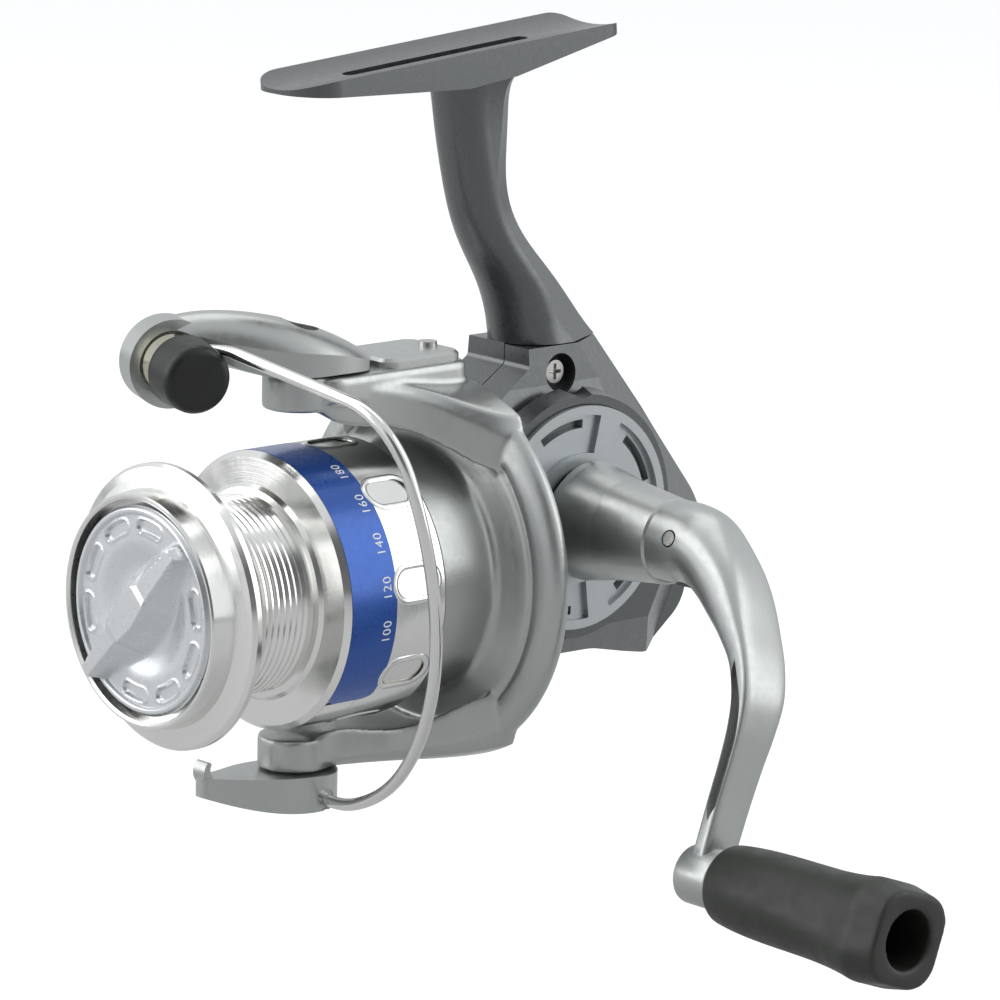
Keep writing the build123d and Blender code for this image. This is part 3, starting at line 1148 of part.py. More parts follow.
with BuildPart() as handle_shaft:
    gear_ring(14.0, HINGE_X, STEM_R)
    with BuildSketch(gear_side(CAP_STEM_END + 0.4)):
        Rectangle(4.0, 4.0, rotation=45)
    extrude(amount=BEARING_SEAT_X - CAP_STEM_END + 1.0)
    # the tongue is flat on four sides and round at its end
    tongue_length = HINGE_X + STEM_R - TONGUE_X
    for face in (-1, 1):
        with BuildSketch(crank(face * 20.0)):
            with Locations((TONGUE_X + tongue_length / 2, 0)):
                Rectangle(tongue_length, 20.0)
        extrude(amount=-face * (20.0 - TONGUE_T / 2), mode=Mode.SUBTRACT)
        with BuildSketch(crank(-20.0)):
            with Locations((TONGUE_X + tongue_length / 2, face * (TONGUE_HALF + 5.0))):
                Rectangle(tongue_length, 10.0)
        extrude(amount=40.0, mode=Mode.SUBTRACT)
    with BuildSketch(crank(-TONGUE_T / 2)):
        with Locations((HINGE_X, 0)):
            Circle(TONGUE_HALF)
    extrude(amount=TONGUE_T)
    with BuildSketch(crank(-20.0)):
        with Locations((HINGE_X, 0)):
            Circle(HINGE_PIN_R + RUN)
    extrude(amount=40.0, mode=Mode.SUBTRACT)
save(handle_shaft, "handle_shaft")

ARM_HALF_W = 3.6           # half thickness of the crank below its elbow


def crank_blade():
    """Cast crank: as thick as the barrel at the elbow, thinner towards the knob."""
    with BuildPart() as blade:
        with BuildSketch(crank(-BARREL_R)):
            with BuildLine():
                outer = [(43.4, -BARREL_R + 0.1), (51.0, -4.4), (58.0, 4.6), (63.2, 13.6), (65.7, 21.5)]
                Spline(*outer, (66.0, 32.0), (65.4, KNOB_S))
                Line((65.4, KNOB_S), (60.9, KNOB_S))
                inner = [(60.9, KNOB_S), (61.2, 36.0), (60.7, 27.0), (58.9, 20.0), (55.4, 13.4)]
                Spline(*inner, (48.6, BARREL_R - 0.4))
                Polyline((48.6, BARREL_R - 0.4), (43.4, BARREL_R - 0.8), (43.4, -BARREL_R + 0.1))
            make_face()
        extrude(amount=2 * BARREL_R)
        with BuildSketch(knob_plane(40.0)):
            with BuildLine():
                taper = [(BARREL_R - 0.7, -8.0), (BARREL_R - 0.5, 3.0), (5.3, 11.0), (4.3, 19.0)]
                taper += [(ARM_HALF_W, 32.0), (ARM_HALF_W, KNOB_S + 2.0)]
                flank = [(p, q - KNOB_S) for p, q in taper]
                mirrored = [(-p, q) for p, q in reversed(flank)]
                Spline(*flank)
                Line(flank[-1], mirrored[0])
                Spline(*mirrored)
                Line(mirrored[-1], flank[0])
            make_face()
        extrude(amount=30.0, mode=Mode.INTERSECT)
    return blade.part


with BuildPart() as handle_arm:
    barrel = [(BARREL_X, 0), (BARREL_X, BARREL_R - 0.3), (BARREL_X + 0.3, BARREL_R), (45.0, BARREL_R)]
    barrel += [(47.6, 6.6), (50.0, 5.6), (51.8, 4.0), (52.6, 2.0), (52.8, 0)]
    turned(barrel, axis=HANDLE_AXIS, plane=crank())
    add(crank_blade())
    with BuildSketch(knob_plane(BOSS_X0)):
        Circle(END_BOSS_R)
    extrude(amount=BOSS_X1 - BOSS_X0)
    # long shallow pockets in the flanks
    for face in (-1, 1):
        with BuildSketch(crank(face * (ARM_HALF_W + 2.0))):
            with BuildLine():
                Spline((60.2, 15.5), (62.6, 21.5), (63.6, 28.0), (63.5, 38.0))
                Line((63.5, 38.0), (62.4, 38.0))
                Spline((62.4, 38.0), (62.3, 29.0), (61.6, 22.6), (60.2, 15.5))
            make_face()
        extrude(amount=-face * 3.2, mode=Mode.SUBTRACT)
    # slot for the tongue: open at the barrel end and along the underside
    slot_half = TONGUE_T / 2 + 0.15
    with BuildSketch(crank(-slot_half)):
        with BuildLine():
            Polyline(
                (BARREL_X - 1, -TONGUE_HALF - 0.35),
                (HINGE_X + TONGUE_HALF + 0.5, -TONGUE_HALF - 0.35),
                (HINGE_X + TONGUE_HALF + 0.5, BARREL_R + 1),
                (BARREL_X - 1, BARREL_R + 1),
                close=True,
            )
        make_face()
    extrude(amount=2 * slot_half, mode=Mode.SUBTRACT)
    with BuildSketch(crank(-20.0)):
        with Locations((HINGE_X, 0)):
            Circle(HINGE_PIN_R + FIT)
    extrude(amount=40.0, mode=Mode.SUBTRACT)
    with BuildSketch(knob_plane(BOSS_X1)):
        Circle(AXLE_R + FIT)
    extrude(amount=-6.2, mode=Mode.SUBTRACT)
save(handle_arm, "handle_arm")

with BuildPart() as hinge_pin:
    with BuildSketch(crank(-BARREL_R + 0.05)):
        with Locations((HINGE_X, 0)):
            Circle(HINGE_PIN_R)
    extrude(amount=2 * (BARREL_R - 0.05))
save(hinge_pin, "hinge_pin")

with BuildPart() as knob_axle:
    with BuildSketch(knob_plane(BOSS_X1 - 6.0)):
        Circle(AXLE_R)
    extrude(amount=GRIP_HOLE_X + 0.3 - BOSS_X1 + 6.0)
    with BuildSketch(knob_plane(GRIP_HOLE_X + 0.3)):
        Circle(3.7)
    extrude(amount=1.5)
    with BuildSketch(knob_plane(GRIP_HOLE_X + 1.8)):
        Rectangle(4.6, 0.9)
        Rectangle(0.9, 4.6)
    extrude(amount=-0.9, mode=Mode.SUBTRACT)
save(knob_axle, "knob_axle")

with BuildPart() as handle_knob:
    for x, width, corner in ((GRIP_X0, 10.6, 5.2), GRIP_NECK):
        with BuildSketch(knob_plane(x)):
            RectangleRounded(width, width, corner)
    loft()
    for x, width, corner in (GRIP_NECK, (76.0, 14.0, 6.6), (90.0, 14.4, 5.6), GRIP_FLARE):
        with BuildSketch(knob_plane(x)):
            RectangleRounded(width, width, corner)
    loft()
    for x, width, corner in (GRIP_FLARE, (GRIP_X1, 14.4, 4.6)):
        with BuildSketch(knob_plane(x)):
            RectangleRounded(width, width, corner)
    loft()
    with BuildSketch(knob_plane(GRIP_X0 - 1)):
        Circle(AXLE_R + RUN)
    extrude(amount=GRIP_HOLE_X - GRIP_X0 + 2, mode=Mode.SUBTRACT)
    with BuildSketch(knob_plane(GRIP_HOLE_X)):
        Circle(GRIP_HOLE_R)
    extrude(amount=40, mode=Mode.SUBTRACT)
save(handle_knob, "handle_knob")
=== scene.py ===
import bmesh, bpy, math
from mathutils import Matrix, Vector


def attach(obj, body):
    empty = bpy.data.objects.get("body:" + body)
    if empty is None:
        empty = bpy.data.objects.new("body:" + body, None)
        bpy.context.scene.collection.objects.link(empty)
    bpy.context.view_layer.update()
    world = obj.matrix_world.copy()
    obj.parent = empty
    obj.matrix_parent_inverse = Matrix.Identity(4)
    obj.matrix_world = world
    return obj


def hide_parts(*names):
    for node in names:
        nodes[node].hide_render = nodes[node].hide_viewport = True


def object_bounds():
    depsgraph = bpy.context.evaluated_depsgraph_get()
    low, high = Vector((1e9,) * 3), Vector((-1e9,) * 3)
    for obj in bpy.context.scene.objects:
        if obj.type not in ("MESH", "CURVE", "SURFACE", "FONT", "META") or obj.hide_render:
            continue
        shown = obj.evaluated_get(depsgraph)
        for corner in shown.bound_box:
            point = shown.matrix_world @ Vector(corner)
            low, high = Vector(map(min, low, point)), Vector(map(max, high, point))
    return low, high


# The looks of an open-face spinning reel, its camera and its light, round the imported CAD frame.
# Sizes in the tables and functions are in millimetres. What Blender gets is in metres.

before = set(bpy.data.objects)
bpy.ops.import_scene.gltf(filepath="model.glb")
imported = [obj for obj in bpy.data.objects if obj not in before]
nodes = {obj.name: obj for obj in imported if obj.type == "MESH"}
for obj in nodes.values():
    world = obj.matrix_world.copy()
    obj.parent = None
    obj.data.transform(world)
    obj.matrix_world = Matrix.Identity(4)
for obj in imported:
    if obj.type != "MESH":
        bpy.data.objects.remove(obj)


def corners():
    """Lowest and highest corner of the whole object, as plain numbers."""
    return [[float(v) for v in corner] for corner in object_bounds()]


cad_box = corners()
scene = bpy.context.scene


def mm(x, y, z):
    return Vector((x, y, z)) / 1000


def smooth(t):
    """From 0 to 1 with a soft start and end."""
    t = min(1.0, max(0.0, t))
    return t * t * (3 - 2 * t)


FULL = 2 * math.pi
AXIS = mm(0, -8.2, -81.7)          # zero station of the spool axis, which runs along Y
HANDLE = mm(0, 20.45, -74.7)       # zero station of the handle axis, which runs along X
ALONG_X, ALONG_Y, ALONG_Z = Vector((1, 0, 0)), Vector((0, 1, 0)), Vector((0, 0, 1))

# ------------------------------------------------------------ camera
BACK = Vector((0.7261, -0.6546, 0.2103)).normalized()      # from the reel to the camera
CAMERA_OFFSET = (17.921, 10.87, 931.565)                   # from AXIS: right, up and back
CAMERA_ROLL = math.radians(1.236)
CAMERA_SENSOR, CAMERA_LENS, CAMERA_REACH = 36, 210.2, 20


def camera():
    """Make the photograph's camera, and give its directions right and up."""
    level = Vector((-BACK.y, BACK.x, 0)).normalized()
    upright = BACK.cross(level)
    right = math.cos(CAMERA_ROLL) * level + math.sin(CAMERA_ROLL) * upright
    up = math.cos(CAMERA_ROLL) * upright - math.sin(CAMERA_ROLL) * level
    across, above, away = CAMERA_OFFSET
    place = AXIS + (across * right + above * up + away * BACK) / 1000
    data = bpy.data.cameras.new("camera")
    data.sensor_width, data.lens, data.clip_end = CAMERA_SENSOR, CAMERA_LENS, CAMERA_REACH
    obj = bpy.data.objects.new("camera", data)
    turn = Matrix((right, up, BACK)).transposed().to_4x4()
    obj.matrix_world = Matrix.Translation(place) @ turn
    scene.collection.objects.link(obj)
    bpy.context.scene.camera = obj
    return right, up


RIGHT, UP = camera()


# ------------------------------------------------------------ materials
def add_node(tree, kind, **values):
    """A new node. Each value goes to the property of that name, or else to the input."""
    node = tree.nodes.new(kind)
    for key, value in values.items():
        if hasattr(node, key):
            setattr(node, key, value)
        else:
            node.inputs[key.replace("_", " ")].default_value = value
    return node


class Mat:
    """Builds one procedural material. Texture scales are per metre, bump distances in metres."""

    def __init__(self, name, color, metallic, rough):
        self.material = bpy.data.materials.new(name)
        self.material.use_nodes = True
        self.tree = self.material.node_tree
        self.shader = self.tree.nodes["Principled BSDF"]
        self.shader.inputs["Base Color"].default_value = (*color, 1)
        self.shader.inputs["Metallic"].default_value = metallic
        self.shader.inputs["Roughness"].default_value = rough
        self.color = color
        self.normal = None

    def node(self, kind, **values):
        return add_node(self.tree, kind, **values)

    def link(self, a, b):
        self.tree.links.new(a, b)

    def coords(self):
        return self.node("ShaderNodeTexCoord").outputs["Object"]

    def noise(self, scale, detail):
        node = self.node("ShaderNodeTexNoise", Scale=scale, Detail=detail, Roughness=0.55)
        self.link(self.coords(), node.inputs["Vector"])
        return node.outputs["Fac"]

    def ramp(self, value, low, high, at=(0.35, 0.65)):
        node = self.node("ShaderNodeValToRGB")
        for stop, color, position in zip(node.color_ramp.elements, (low, high), at):
            stop.position = position
            stop.color = color
        self.link(value, node.inputs["Fac"])
        return node.outputs["Color"]

    def mottle(self, scale, spread, at=(0.35, 0.65), detail=4.0):
        """Colour that drifts a little darker and lighter."""
        low = (*(c * (1 - spread) for c in self.color), 1)
        high = (*(min(1, c * (1 + spread)) for c in self.color), 1)
        out = self.ramp(self.noise(scale, detail), low, high, at)
        self.link(out, self.shader.inputs["Base Color"])
        return self

    def rough(self, scale, low, high):
        """Roughness that drifts between two values."""
        out = self.ramp(self.noise(scale, 6.0), (low, low, low, 1), (high, high, high, 1))
        self.link(out, self.shader.inputs["Roughness"])
        return self

    def bump(self, value, distance, strength):
        """A bump on top of those before it."""
        node = self.node("ShaderNodeBump", Distance=distance, Strength=strength)
        self.link(value, node.inputs["Height"])
        if self.normal is not None:
            self.link(self.normal, node.inputs["Normal"])
        self.normal = node.outputs["Normal"]
        self.link(self.normal, self.shader.inputs["Normal"])
        return self

    def grain(self, scale, detail, distance, strength):
        return self.bump(self.noise(scale, detail), distance, strength)

    def coat(self, weight, rough):
        self.shader.inputs["Coat Weight"].default_value = weight
        self.shader.inputs["Coat Roughness"].default_value = rough
        return self

    def vector(self, operation, value, other=None):
        node = self.node("ShaderNodeVectorMath", operation=operation)
        self.link(value, node.inputs[0])
        if other is not None:
            node.inputs[1].default_value = other
        return node

    def rings(self, centre, axis, pitch, distance, strength):
        """Fine turning marks, which change only with the distance from an axis and along it."""
        offset = self.vector("SUBTRACT", self.coords(), centre).outputs[0]
        radius = self.vector("LENGTH", self.vector("CROSS_PRODUCT", offset, axis).outputs[0])
        station = self.vector("DOT_PRODUCT", offset, axis)
        both = self.node("ShaderNodeCombineXYZ")
        self.link(radius.outputs["Value"], both.inputs[0])
        self.link(station.outputs["Value"], both.inputs[1])
        node = self.node("ShaderNodeTexNoise", Scale=1 / pitch, Detail=3.0, Roughness=0.6)
        self.link(both.outputs[0], node.inputs["Vector"])
        return self.bump(node.outputs["Fac"], distance, strength)


def paint(name, color, metallic, rough, coat, spread):
    """Metallic paint: flakes, an uneven surface and a clear coat."""
    mat = Mat(name, color, metallic, rough)
    mat.mottle(9000, spread, (0.3, 0.7), 2.0)
    mat.rough(900, rough - 0.04, rough + 0.05)
    mat.grain(6000, 2.0, 0.00002, 0.25).grain(420, 3.0, 0.00004, 0.12)
    return mat.coat(coat, 0.16)


def metal(name, color, scale, low, high):
    """Bare metal with a roughness between two values."""
    return Mat(name, color, 1.0, (low + high) / 2).rough(scale, low, high)


def plastic(name, color, rough, scale, spread):
    return Mat(name, color, 0.0, rough).mottle(scale, spread)


FINISH = {
    "gunmetal": paint("gunmetal_paint", (0.120, 0.127, 0.129), 0.78, 0.30, 0.25, 0.14),
    "silver": paint("silver_paint", (0.45, 0.465, 0.455), 0.85, 0.33, 0.2, 0.08),
    "knob": paint("knob_silver", (0.68, 0.70, 0.715), 0.82, 0.30, 0.2, 0.04),
    "plate": paint("plate_silver", (0.44, 0.465, 0.475), 0.70, 0.38, 0.15, 0.05),
    "band": paint("band_blue", (0.007, 0.075, 0.36), 0.55, 0.28, 0.5, 0.08),
    "bright": metal("spool_bright", (0.80, 0.80, 0.78), 300, 0.13, 0.23)
    .rings(AXIS, ALONG_Y, 0.00022, 0.00003, 0.35),
    "chrome": metal("chrome_wire", (0.74, 0.74, 0.72), 700, 0.08, 0.18),
    "steel": metal("steel", (0.56, 0.55, 0.53), 900, 0.20, 0.34).mottle(500, 0.05),
    "brass": metal("brass", (0.66, 0.50, 0.24), 900, 0.18, 0.32),
    "roller": metal("roller", (0.50, 0.49, 0.40), 700, 0.10, 0.22),
    "acetal": plastic("acetal", (0.72, 0.72, 0.69), 0.40, 300, 0.03),
    "print": plastic("white_print", (0.80, 0.82, 0.84), 0.35, 800, 0.03),
    "felt": plastic("felt", (0.40, 0.37, 0.31), 0.95, 2500, 0.2),
    "grip": plastic("grip_rubber", (0.017, 0.019, 0.015), 0.48, 240, 0.10)
    .grain(5200, 3.0, 0.00003, 0.35).rough(300, 0.40, 0.54),
    "cap": plastic("cap_rubber", (0.0035, 0.0042, 0.0033), 0.42, 300, 0.12).rough(500, 0.36, 0.48),
}
WEARERS = {                        # CAD nodes by finish; the others are steel
    "gunmetal": ["body_frame", "side_cover", "shaft_cap", "anti_reverse_lever"],
    "silver": ["rotor", "arm_cover", "bail_arm", "bail_lever", "handle_collar", "handle_arm"],
    "knob": ["drag_knob"],
    "plate": ["side_plate"],
    "band": ["spool_band"],
    "bright": ["spool"],
    "chrome": ["bail_wire"],
    "roller": ["line_roller"],
    "brass": ["pinion", "rotor_nut", "spool_sleeve", "drag_nut", "pinion_bush"],
    "acetal": ["oscillation_gear", "roller_bush", "click_gear"],
    "felt": ["drag_felts"],
    "grip": ["handle_knob"],
    "cap": ["roller_cap"],
}


def finish_nodes():
    finish_of = {node: name for name, wearers in WEARERS.items() for node in wearers}
    for node, obj in nodes.items():
        material = FINISH[finish_of.get(node, "steel")].material
        if not obj.material_slots:
            obj.data.materials.append(material)
        for slot in obj.material_slots:
            slot.material = material


finish_nodes()

# ------------------------------------------------------------ mesh helpers
CREASE = math.radians(38)          # edges sharper than this stay sharp in the shading
DOUBLE = 1e-7                      # points nearer than this, in metres, are one


def link_new(name, data):
    obj = bpy.data.objects.new(name, data)
    scene.collection.objects.link(obj)
    return obj


def face_outward(mesh, merge=False):
    bm = bmesh.new()
    bm.from_mesh(mesh)
    if merge:
        bmesh.ops.remove_doubles(bm, verts=bm.verts, dist=DOUBLE)
    bmesh.ops.recalc_face_normals(bm, faces=bm.faces)
    bm.to_mesh(mesh)
    bm.free()


def shade(mesh):
    mesh.polygons.foreach_set("use_smooth", [True] * len(mesh.polygons))


def new_mesh(name, verts, faces):
    mesh = bpy.data.meshes.new(name)
    mesh.from_pydata(verts, [], faces)
    return mesh


def dress(name, mesh, finish, body):
    """A new piece of this mesh, shaded and finished, that rides on a body."""
    face_outward(mesh, merge=True)
    shade(mesh)
    mesh.set_sharp_from_angle(angle=CREASE)
    mesh.materials.clear()
    mesh.materials.append(FINISH[finish].material)
    obj = link_new(name, mesh)
    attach(obj, body)
    return obj


def piece(name, shape, finish, body):
    """A new piece from vertices and faces."""
    return dress(name, new_mesh(name, *shape), finish, body)


def evaluated(obj):
    """A new mesh of the object as its modifiers or its text make it."""
    graph = bpy.context.evaluated_depsgraph_get()
    return bpy.data.meshes.new_from_object(obj.evaluated_get(graph))


def apply(obj, kind, **values):
    """Put a modifier on the piece, apply it and give the new mesh."""
    mod = obj.modifiers.new("step", kind)
    for key, value in values.items():
        setattr(mod, key, value)
    mesh = evaluated(obj)
    obj.modifiers.clear()
    obj.data = mesh
    return mesh


def combine(obj, shape, operation="DIFFERENCE"):
    """Cut a closed shape out of a piece, or join it on."""
    tool = link_new("tool", new_mesh("tool", *shape))
    face_outward(tool.data)
    apply(obj, "BOOLEAN", operation=operation, solver="EXACT", object=tool)
    bpy.data.objects.remove(tool)


def circle(count):
    """Cosine and sine at equal steps round a circle."""
    return [(math.cos(FULL * j / count), math.sin(FULL * j / count)) for j in range(count)]


def skin(rings, caps=True):
    """Vertices and faces through closed rings of equally many points."""
    n = len(rings[0])
    verts = [p for ring in rings for p in ring]
    faces = []
    for i in range(len(rings) - 1):
        for j in range(n):
            k = (j + 1) % n
            faces.append((i * n + j, i * n + k, (i + 1) * n + k, (i + 1) * n + j))
    if caps:
        faces.append(tuple(range(n)))
        faces.append(tuple(range(len(verts) - n, len(verts))))
    return verts, faces


def about(y, r, a):
    """The point at station y, radius r and angle a of the spool axis."""
    return AXIS + mm(r * math.cos(a), y, r * math.sin(a))


def disc(centre, u, w, r, count):
    """A ring of radius r round a centre, in the plane of two directions."""
    return [centre + (u * c + w * s) * r / 1000 for c, s in circle(count)]


def spline(points, count):
    """Rows of numbers on a Catmull-Rom curve through the given rows."""
    before = [2 * a - b for a, b in zip(points[0], points[1])]
    after = [2 * a - b for a, b in zip(points[-1], points[-2])]
    rows = [before, *points, after]
    out = []
    for i in range(count):
        t = i / (count - 1) * (len(points) - 1)
        k = min(int(t), len(points) - 2)
        t -= k
        out.append([0.5 * (2 * b + (c - a) * t + (2 * a - 5 * b + 4 * c - d) * t ** 2
                           + (3 * b - a - 3 * c + d) * t ** 3)
                    for a, b, c, d in zip(*rows[k:k + 4])])
    return out


# ------------------------------------------------------------ drag knob
KNOB_R, KNOB_FACE = 16.5, -50.4             # radius, and the station of the front plane
KNOB_RINGS, KNOB_SIDES = 110, 360
KNOB_BACK = [(3.2, -48.4), (3.2, -46.15), (8.0, -46.15), (8.6, -47.0), (16.1, -47.0),
             (KNOB_R, -47.5)]               # radius and station behind the front plane
RIDGE = math.radians(47.0)                  # how the finger grip lies
RIDGE_ROOT = -1.9                           # height that its flanks run down to
RIDGE_MELT = 0.22                           # how softly it meets the face
DASH_R, DASH_HALF = 13.3, 1.9               # dash-shaped recesses round the face
DASHES = [RIDGE + math.radians(36) * k for k in (1, 2, 3, 4, 6, 7, 8, 9)]


def face_height(r, a):
    """The knob's face above its front plane, without the finger grip."""
    h = -0.75 * smooth((r - 15.9) / 0.6)            # rounded rim
    h -= 0.55 * smooth((15.4 - r) / 0.45)           # step down inside the rim
    h -= 1.0 * smooth((11.2 - r) / 5.0)             # dish
    for dash in DASHES:
        turn = (a - dash + math.pi) % FULL - math.pi
        along = max(0.0, abs(turn) * DASH_R - DASH_HALF)
        edge = math.hypot(along, r - DASH_R)
        h += 0.14 * (smooth((1.55 - edge) / 0.3) - smooth((1.2 - edge) / 0.25))     # lip
        h -= 0.5 * smooth((1.1 - edge) / 0.3)       # recess
    return h


def ridge_height(s, p):
    """The finger grip above the front plane, s along it and p across it."""
    middle = smooth((5.6 - abs(s)) / 1.2)
    foot = 2.3 + 3.5 * max(0.0, 1 - (s / 15.9) ** 2)
    top = 1.0 + 0.5 * max(0.0, 1 - (s / 15) ** 2) + 1.1 * middle * max(0.0, 1 - abs(s) / 9.0)
    crest = 2.9 - 0.3 * (s / 15) ** 2 + 0.35 * middle
    down = min(1.0, max(0.0, (abs(p) - top) / max(0.2, foot - top)))
    end = smooth((16.1 - abs(s)) / 0.9)
    return RIDGE_ROOT + (crest - RIDGE_ROOT) * (1 - down) ** 1.12 * end


def knob_height(r, a):
    """Face and finger grip, run together where they meet."""
    face = face_height(r, a)
    ridge = ridge_height(r * math.cos(a - RIDGE), r * math.sin(a - RIDGE))
    high = max(face, ridge)
    parts = math.exp((face - high) / RIDGE_MELT) + math.exp((ridge - high) / RIDGE_MELT)
    return high + RIDGE_MELT * math.log(parts) - 0.02


def drag_knob():
    angles = [FULL * j / KNOB_SIDES for j in range(KNOB_SIDES)]
    rings = [[about(y, r, a) for a in angles] for r, y in KNOB_BACK]
    for i in range(KNOB_RINGS, 0, -1):
        r = KNOB_R * i / KNOB_RINGS
        rings.append([about(KNOB_FACE - knob_height(r, a), r, a) for a in angles])
    obj = piece("knob_cap", skin(rings), "knob", "drag")
    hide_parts("drag_knob")


# ------------------------------------------------------------ spool, its label and numbers
SKIRT_R = 22.15
SPOOL_TURN = math.radians(11.0)             # brings the dimples to where the photo has them
DIMPLES, DIMPLE_Y, DIMPLE_A = 9, -12.8, math.radians(9.0)
DIMPLE_R, DIMPLE_HALF = 2.8, 1.7            # round ends, and half the run between them
RIM_WIDE, RIM_HIGH = 0.55, 0.22             # half the section of the raised rim
LABEL_FRONT, LABEL_BACK, LABEL_CORNER = -26.15, -17.1, 1.6
LABEL_START, LABEL_TURN = math.radians(-44.0), math.radians(285.0)
LABEL_OUT, LABEL_IN = SKIRT_R + 0.05, SKIRT_R - 0.27
LABEL_STEPS, LABEL_LINES = 220, 14
STRIP_BACK, STRIP_STEPS, STRIP_GAP = -19.85, 40, 0.004
FIGURES = (("100", -14), ("120", 4), ("140", 22), ("160", 40), ("180", 58))
FIGURE_SIZE, FIGURE_SPACE, FIGURE_R, FIGURE_Y = 2.3, 1.12, SKIRT_R + 0.085, LABEL_BACK - 1.1


def spool_shell():
    """The spool's own mesh, turned about its axis."""
    mesh = nodes["spool"].data.copy()
    turn = Matrix.Rotation(SPOOL_TURN, 4, "Y")
    mesh.transform(Matrix.Translation(AXIS) @ turn @ Matrix.Translation(-AXIS))
    obj = link_new("spool_shell", mesh)
    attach(obj, "spool")
    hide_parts("spool")


def dimple_rims():
    """A raised rim round each dimple of the skirt."""
    verts, faces = [], []
    for k in range(DIMPLES):
        rings = []
        for c, s in circle(44):
            run = 0 if abs(c) < 1e-6 else math.copysign(DIMPLE_HALF, c)
            ring = []
            for out, up in circle(8):
                reach = DIMPLE_R + RIM_WIDE * out
                a = DIMPLE_A + FULL * k / DIMPLES + reach * s / SKIRT_R
                ring.append(about(DIMPLE_Y + run + reach * c, SKIRT_R + RIM_HIGH * up, a))
            rings.append(ring)
        rim_verts, rim_faces = skin([*rings, rings[0]], caps=False)
        faces += [tuple(i + len(verts) for i in face) for face in rim_faces]
        verts += rim_verts
    piece("dimple_rims", (verts, faces), "bright", "spool")


def label():
    """Thin blue label round the skirt, with rounded ends."""
    half, middle = (LABEL_BACK - LABEL_FRONT) / 2, (LABEL_BACK + LABEL_FRONT) / 2
    length = LABEL_TURN * SKIRT_R
    rings = []
    for i in range(LABEL_STEPS + 1):
        arc = length * i / LABEL_STEPS
        inside = max(0.0, LABEL_CORNER - min(arc, length - arc))
        pull = LABEL_CORNER - math.sqrt(max(0.0, LABEL_CORNER ** 2 - inside ** 2))
        w = max(0.4, half - pull)
        a = LABEL_START + arc / SKIRT_R
        steps = [2 * w * j / LABEL_LINES - w for j in range(LABEL_LINES + 1)]
        rings.append([about(middle + step, LABEL_OUT, a) for step in steps]
                     + [about(middle - step, LABEL_IN, a) for step in steps])
    obj = piece("skirt_label", skin(rings), "band", "spool")
    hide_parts("spool_band")


def skirt_strip():
    """Bare metal in the label's groove, where the label leaves it open."""
    start, turn = LABEL_START + LABEL_TURN, FULL - LABEL_TURN
    outline = [(LABEL_FRONT, SKIRT_R), (STRIP_BACK, SKIRT_R), (STRIP_BACK, LABEL_IN),
               (LABEL_FRONT, LABEL_IN)]
    rings = []
    for i in range(STRIP_STEPS + 1):
        a = start + STRIP_GAP + (turn - 2 * STRIP_GAP) * i / STRIP_STEPS
        rings.append([about(y, r, a) for y, r in outline])
    piece("skirt_strip", skin(rings), "bright", "spool")


def figures():
    """Plain numbers on the label, bent round the skirt."""
    for index, (digits, start) in enumerate(FIGURES):
        curve = bpy.data.curves.new("figures", "FONT")
        curve.body, curve.size, curve.space_character = digits, FIGURE_SIZE, FIGURE_SPACE
        text = link_new("figures", curve)
        bpy.context.view_layer.update()
        mesh = evaluated(text)
        bpy.data.objects.remove(text)
        bm = bmesh.new()
        bm.from_mesh(mesh)
        bmesh.ops.triangulate(bm, faces=bm.faces)
        for v in bm.verts:
            v.co = about(FIGURE_Y - v.co.y, FIGURE_R, math.radians(start) + v.co.x / SKIRT_R)
        bm.to_mesh(mesh)
        bm.free()
        dress("figures_%d" % index, mesh, "print", "spool")


# ------------------------------------------------------------ line roller cap and wire root
ROLLER = mm(-9.2, -45.8, -45.5)
ROLLER_DIR = Vector((0.952, -0.300, -0.05)).normalized()
CAP_EDGE, CAP_EDGE_R, CAP_EDGE_X = 1.55, 3.9, 11.35         # rounding of the cap's front edge
CAP_PROFILE = [                             # radius, and distance along the roller's axis
    (1.3, 8.1), (1.3, 5.3), (5.2, 5.3), (5.6, 5.45), (5.75, 5.9), (5.7, 7.2), (5.6, 9.0),
    (5.5, 10.6),
    *((CAP_EDGE_R + CAP_EDGE * math.cos(math.radians(t)),
       CAP_EDGE_X + CAP_EDGE * math.sin(math.radians(t))) for t in range(0, 91, 10)),
    (2.6, 13.0), (1.2, 13.06), (0.3, 13.08)]
WIRE_START = mm(6.6, -44.346, -42.238)
WIRE_DIR = Vector((0.9912, 0.0315, -0.1303)).normalized()
WIRE_ROOT_LENGTH, WIRE_ROOT_STEPS = 8.6, 14
WIRE_R, WIRE_TAPER = 1.0, 0.38


def roller_cap():
    """The rounded rubber cap on the roller's screw."""
    u = ROLLER_DIR.orthogonal().normalized()
    w = ROLLER_DIR.cross(u)
    rings = [disc(ROLLER + ROLLER_DIR * along / 1000, u, w, r, 72) for r, along in CAP_PROFILE]
    obj = piece("roller_dome", skin(rings), "cap", "bail")
    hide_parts("roller_cap")


def wire_root():
    """The thin end of the bail wire, which bends into the cap's place."""
    path, radii = [], []
    for i in range(WIRE_ROOT_STEPS + 1):
        t = i / WIRE_ROOT_STEPS
        path.append(WIRE_START - WIRE_DIR * WIRE_ROOT_LENGTH * t / 1000
                    + mm(0, -0.9, -0.9) * smooth(t) * t)
        radii.append(WIRE_R - WIRE_TAPER * smooth(t * 1.15))
    rings = []
    for i, (point, r) in enumerate(zip(path, radii)):
        d = (path[min(i + 1, WIRE_ROOT_STEPS)] - path[max(i - 1, 0)]).normalized()
        u = d.orthogonal() if i == 0 else u - d * u.dot(d)
        u.normalize()
        rings.append(disc(point, u, d.cross(u), r, 24))
    piece("wire_root", skin(rings), "chrome", "bail")


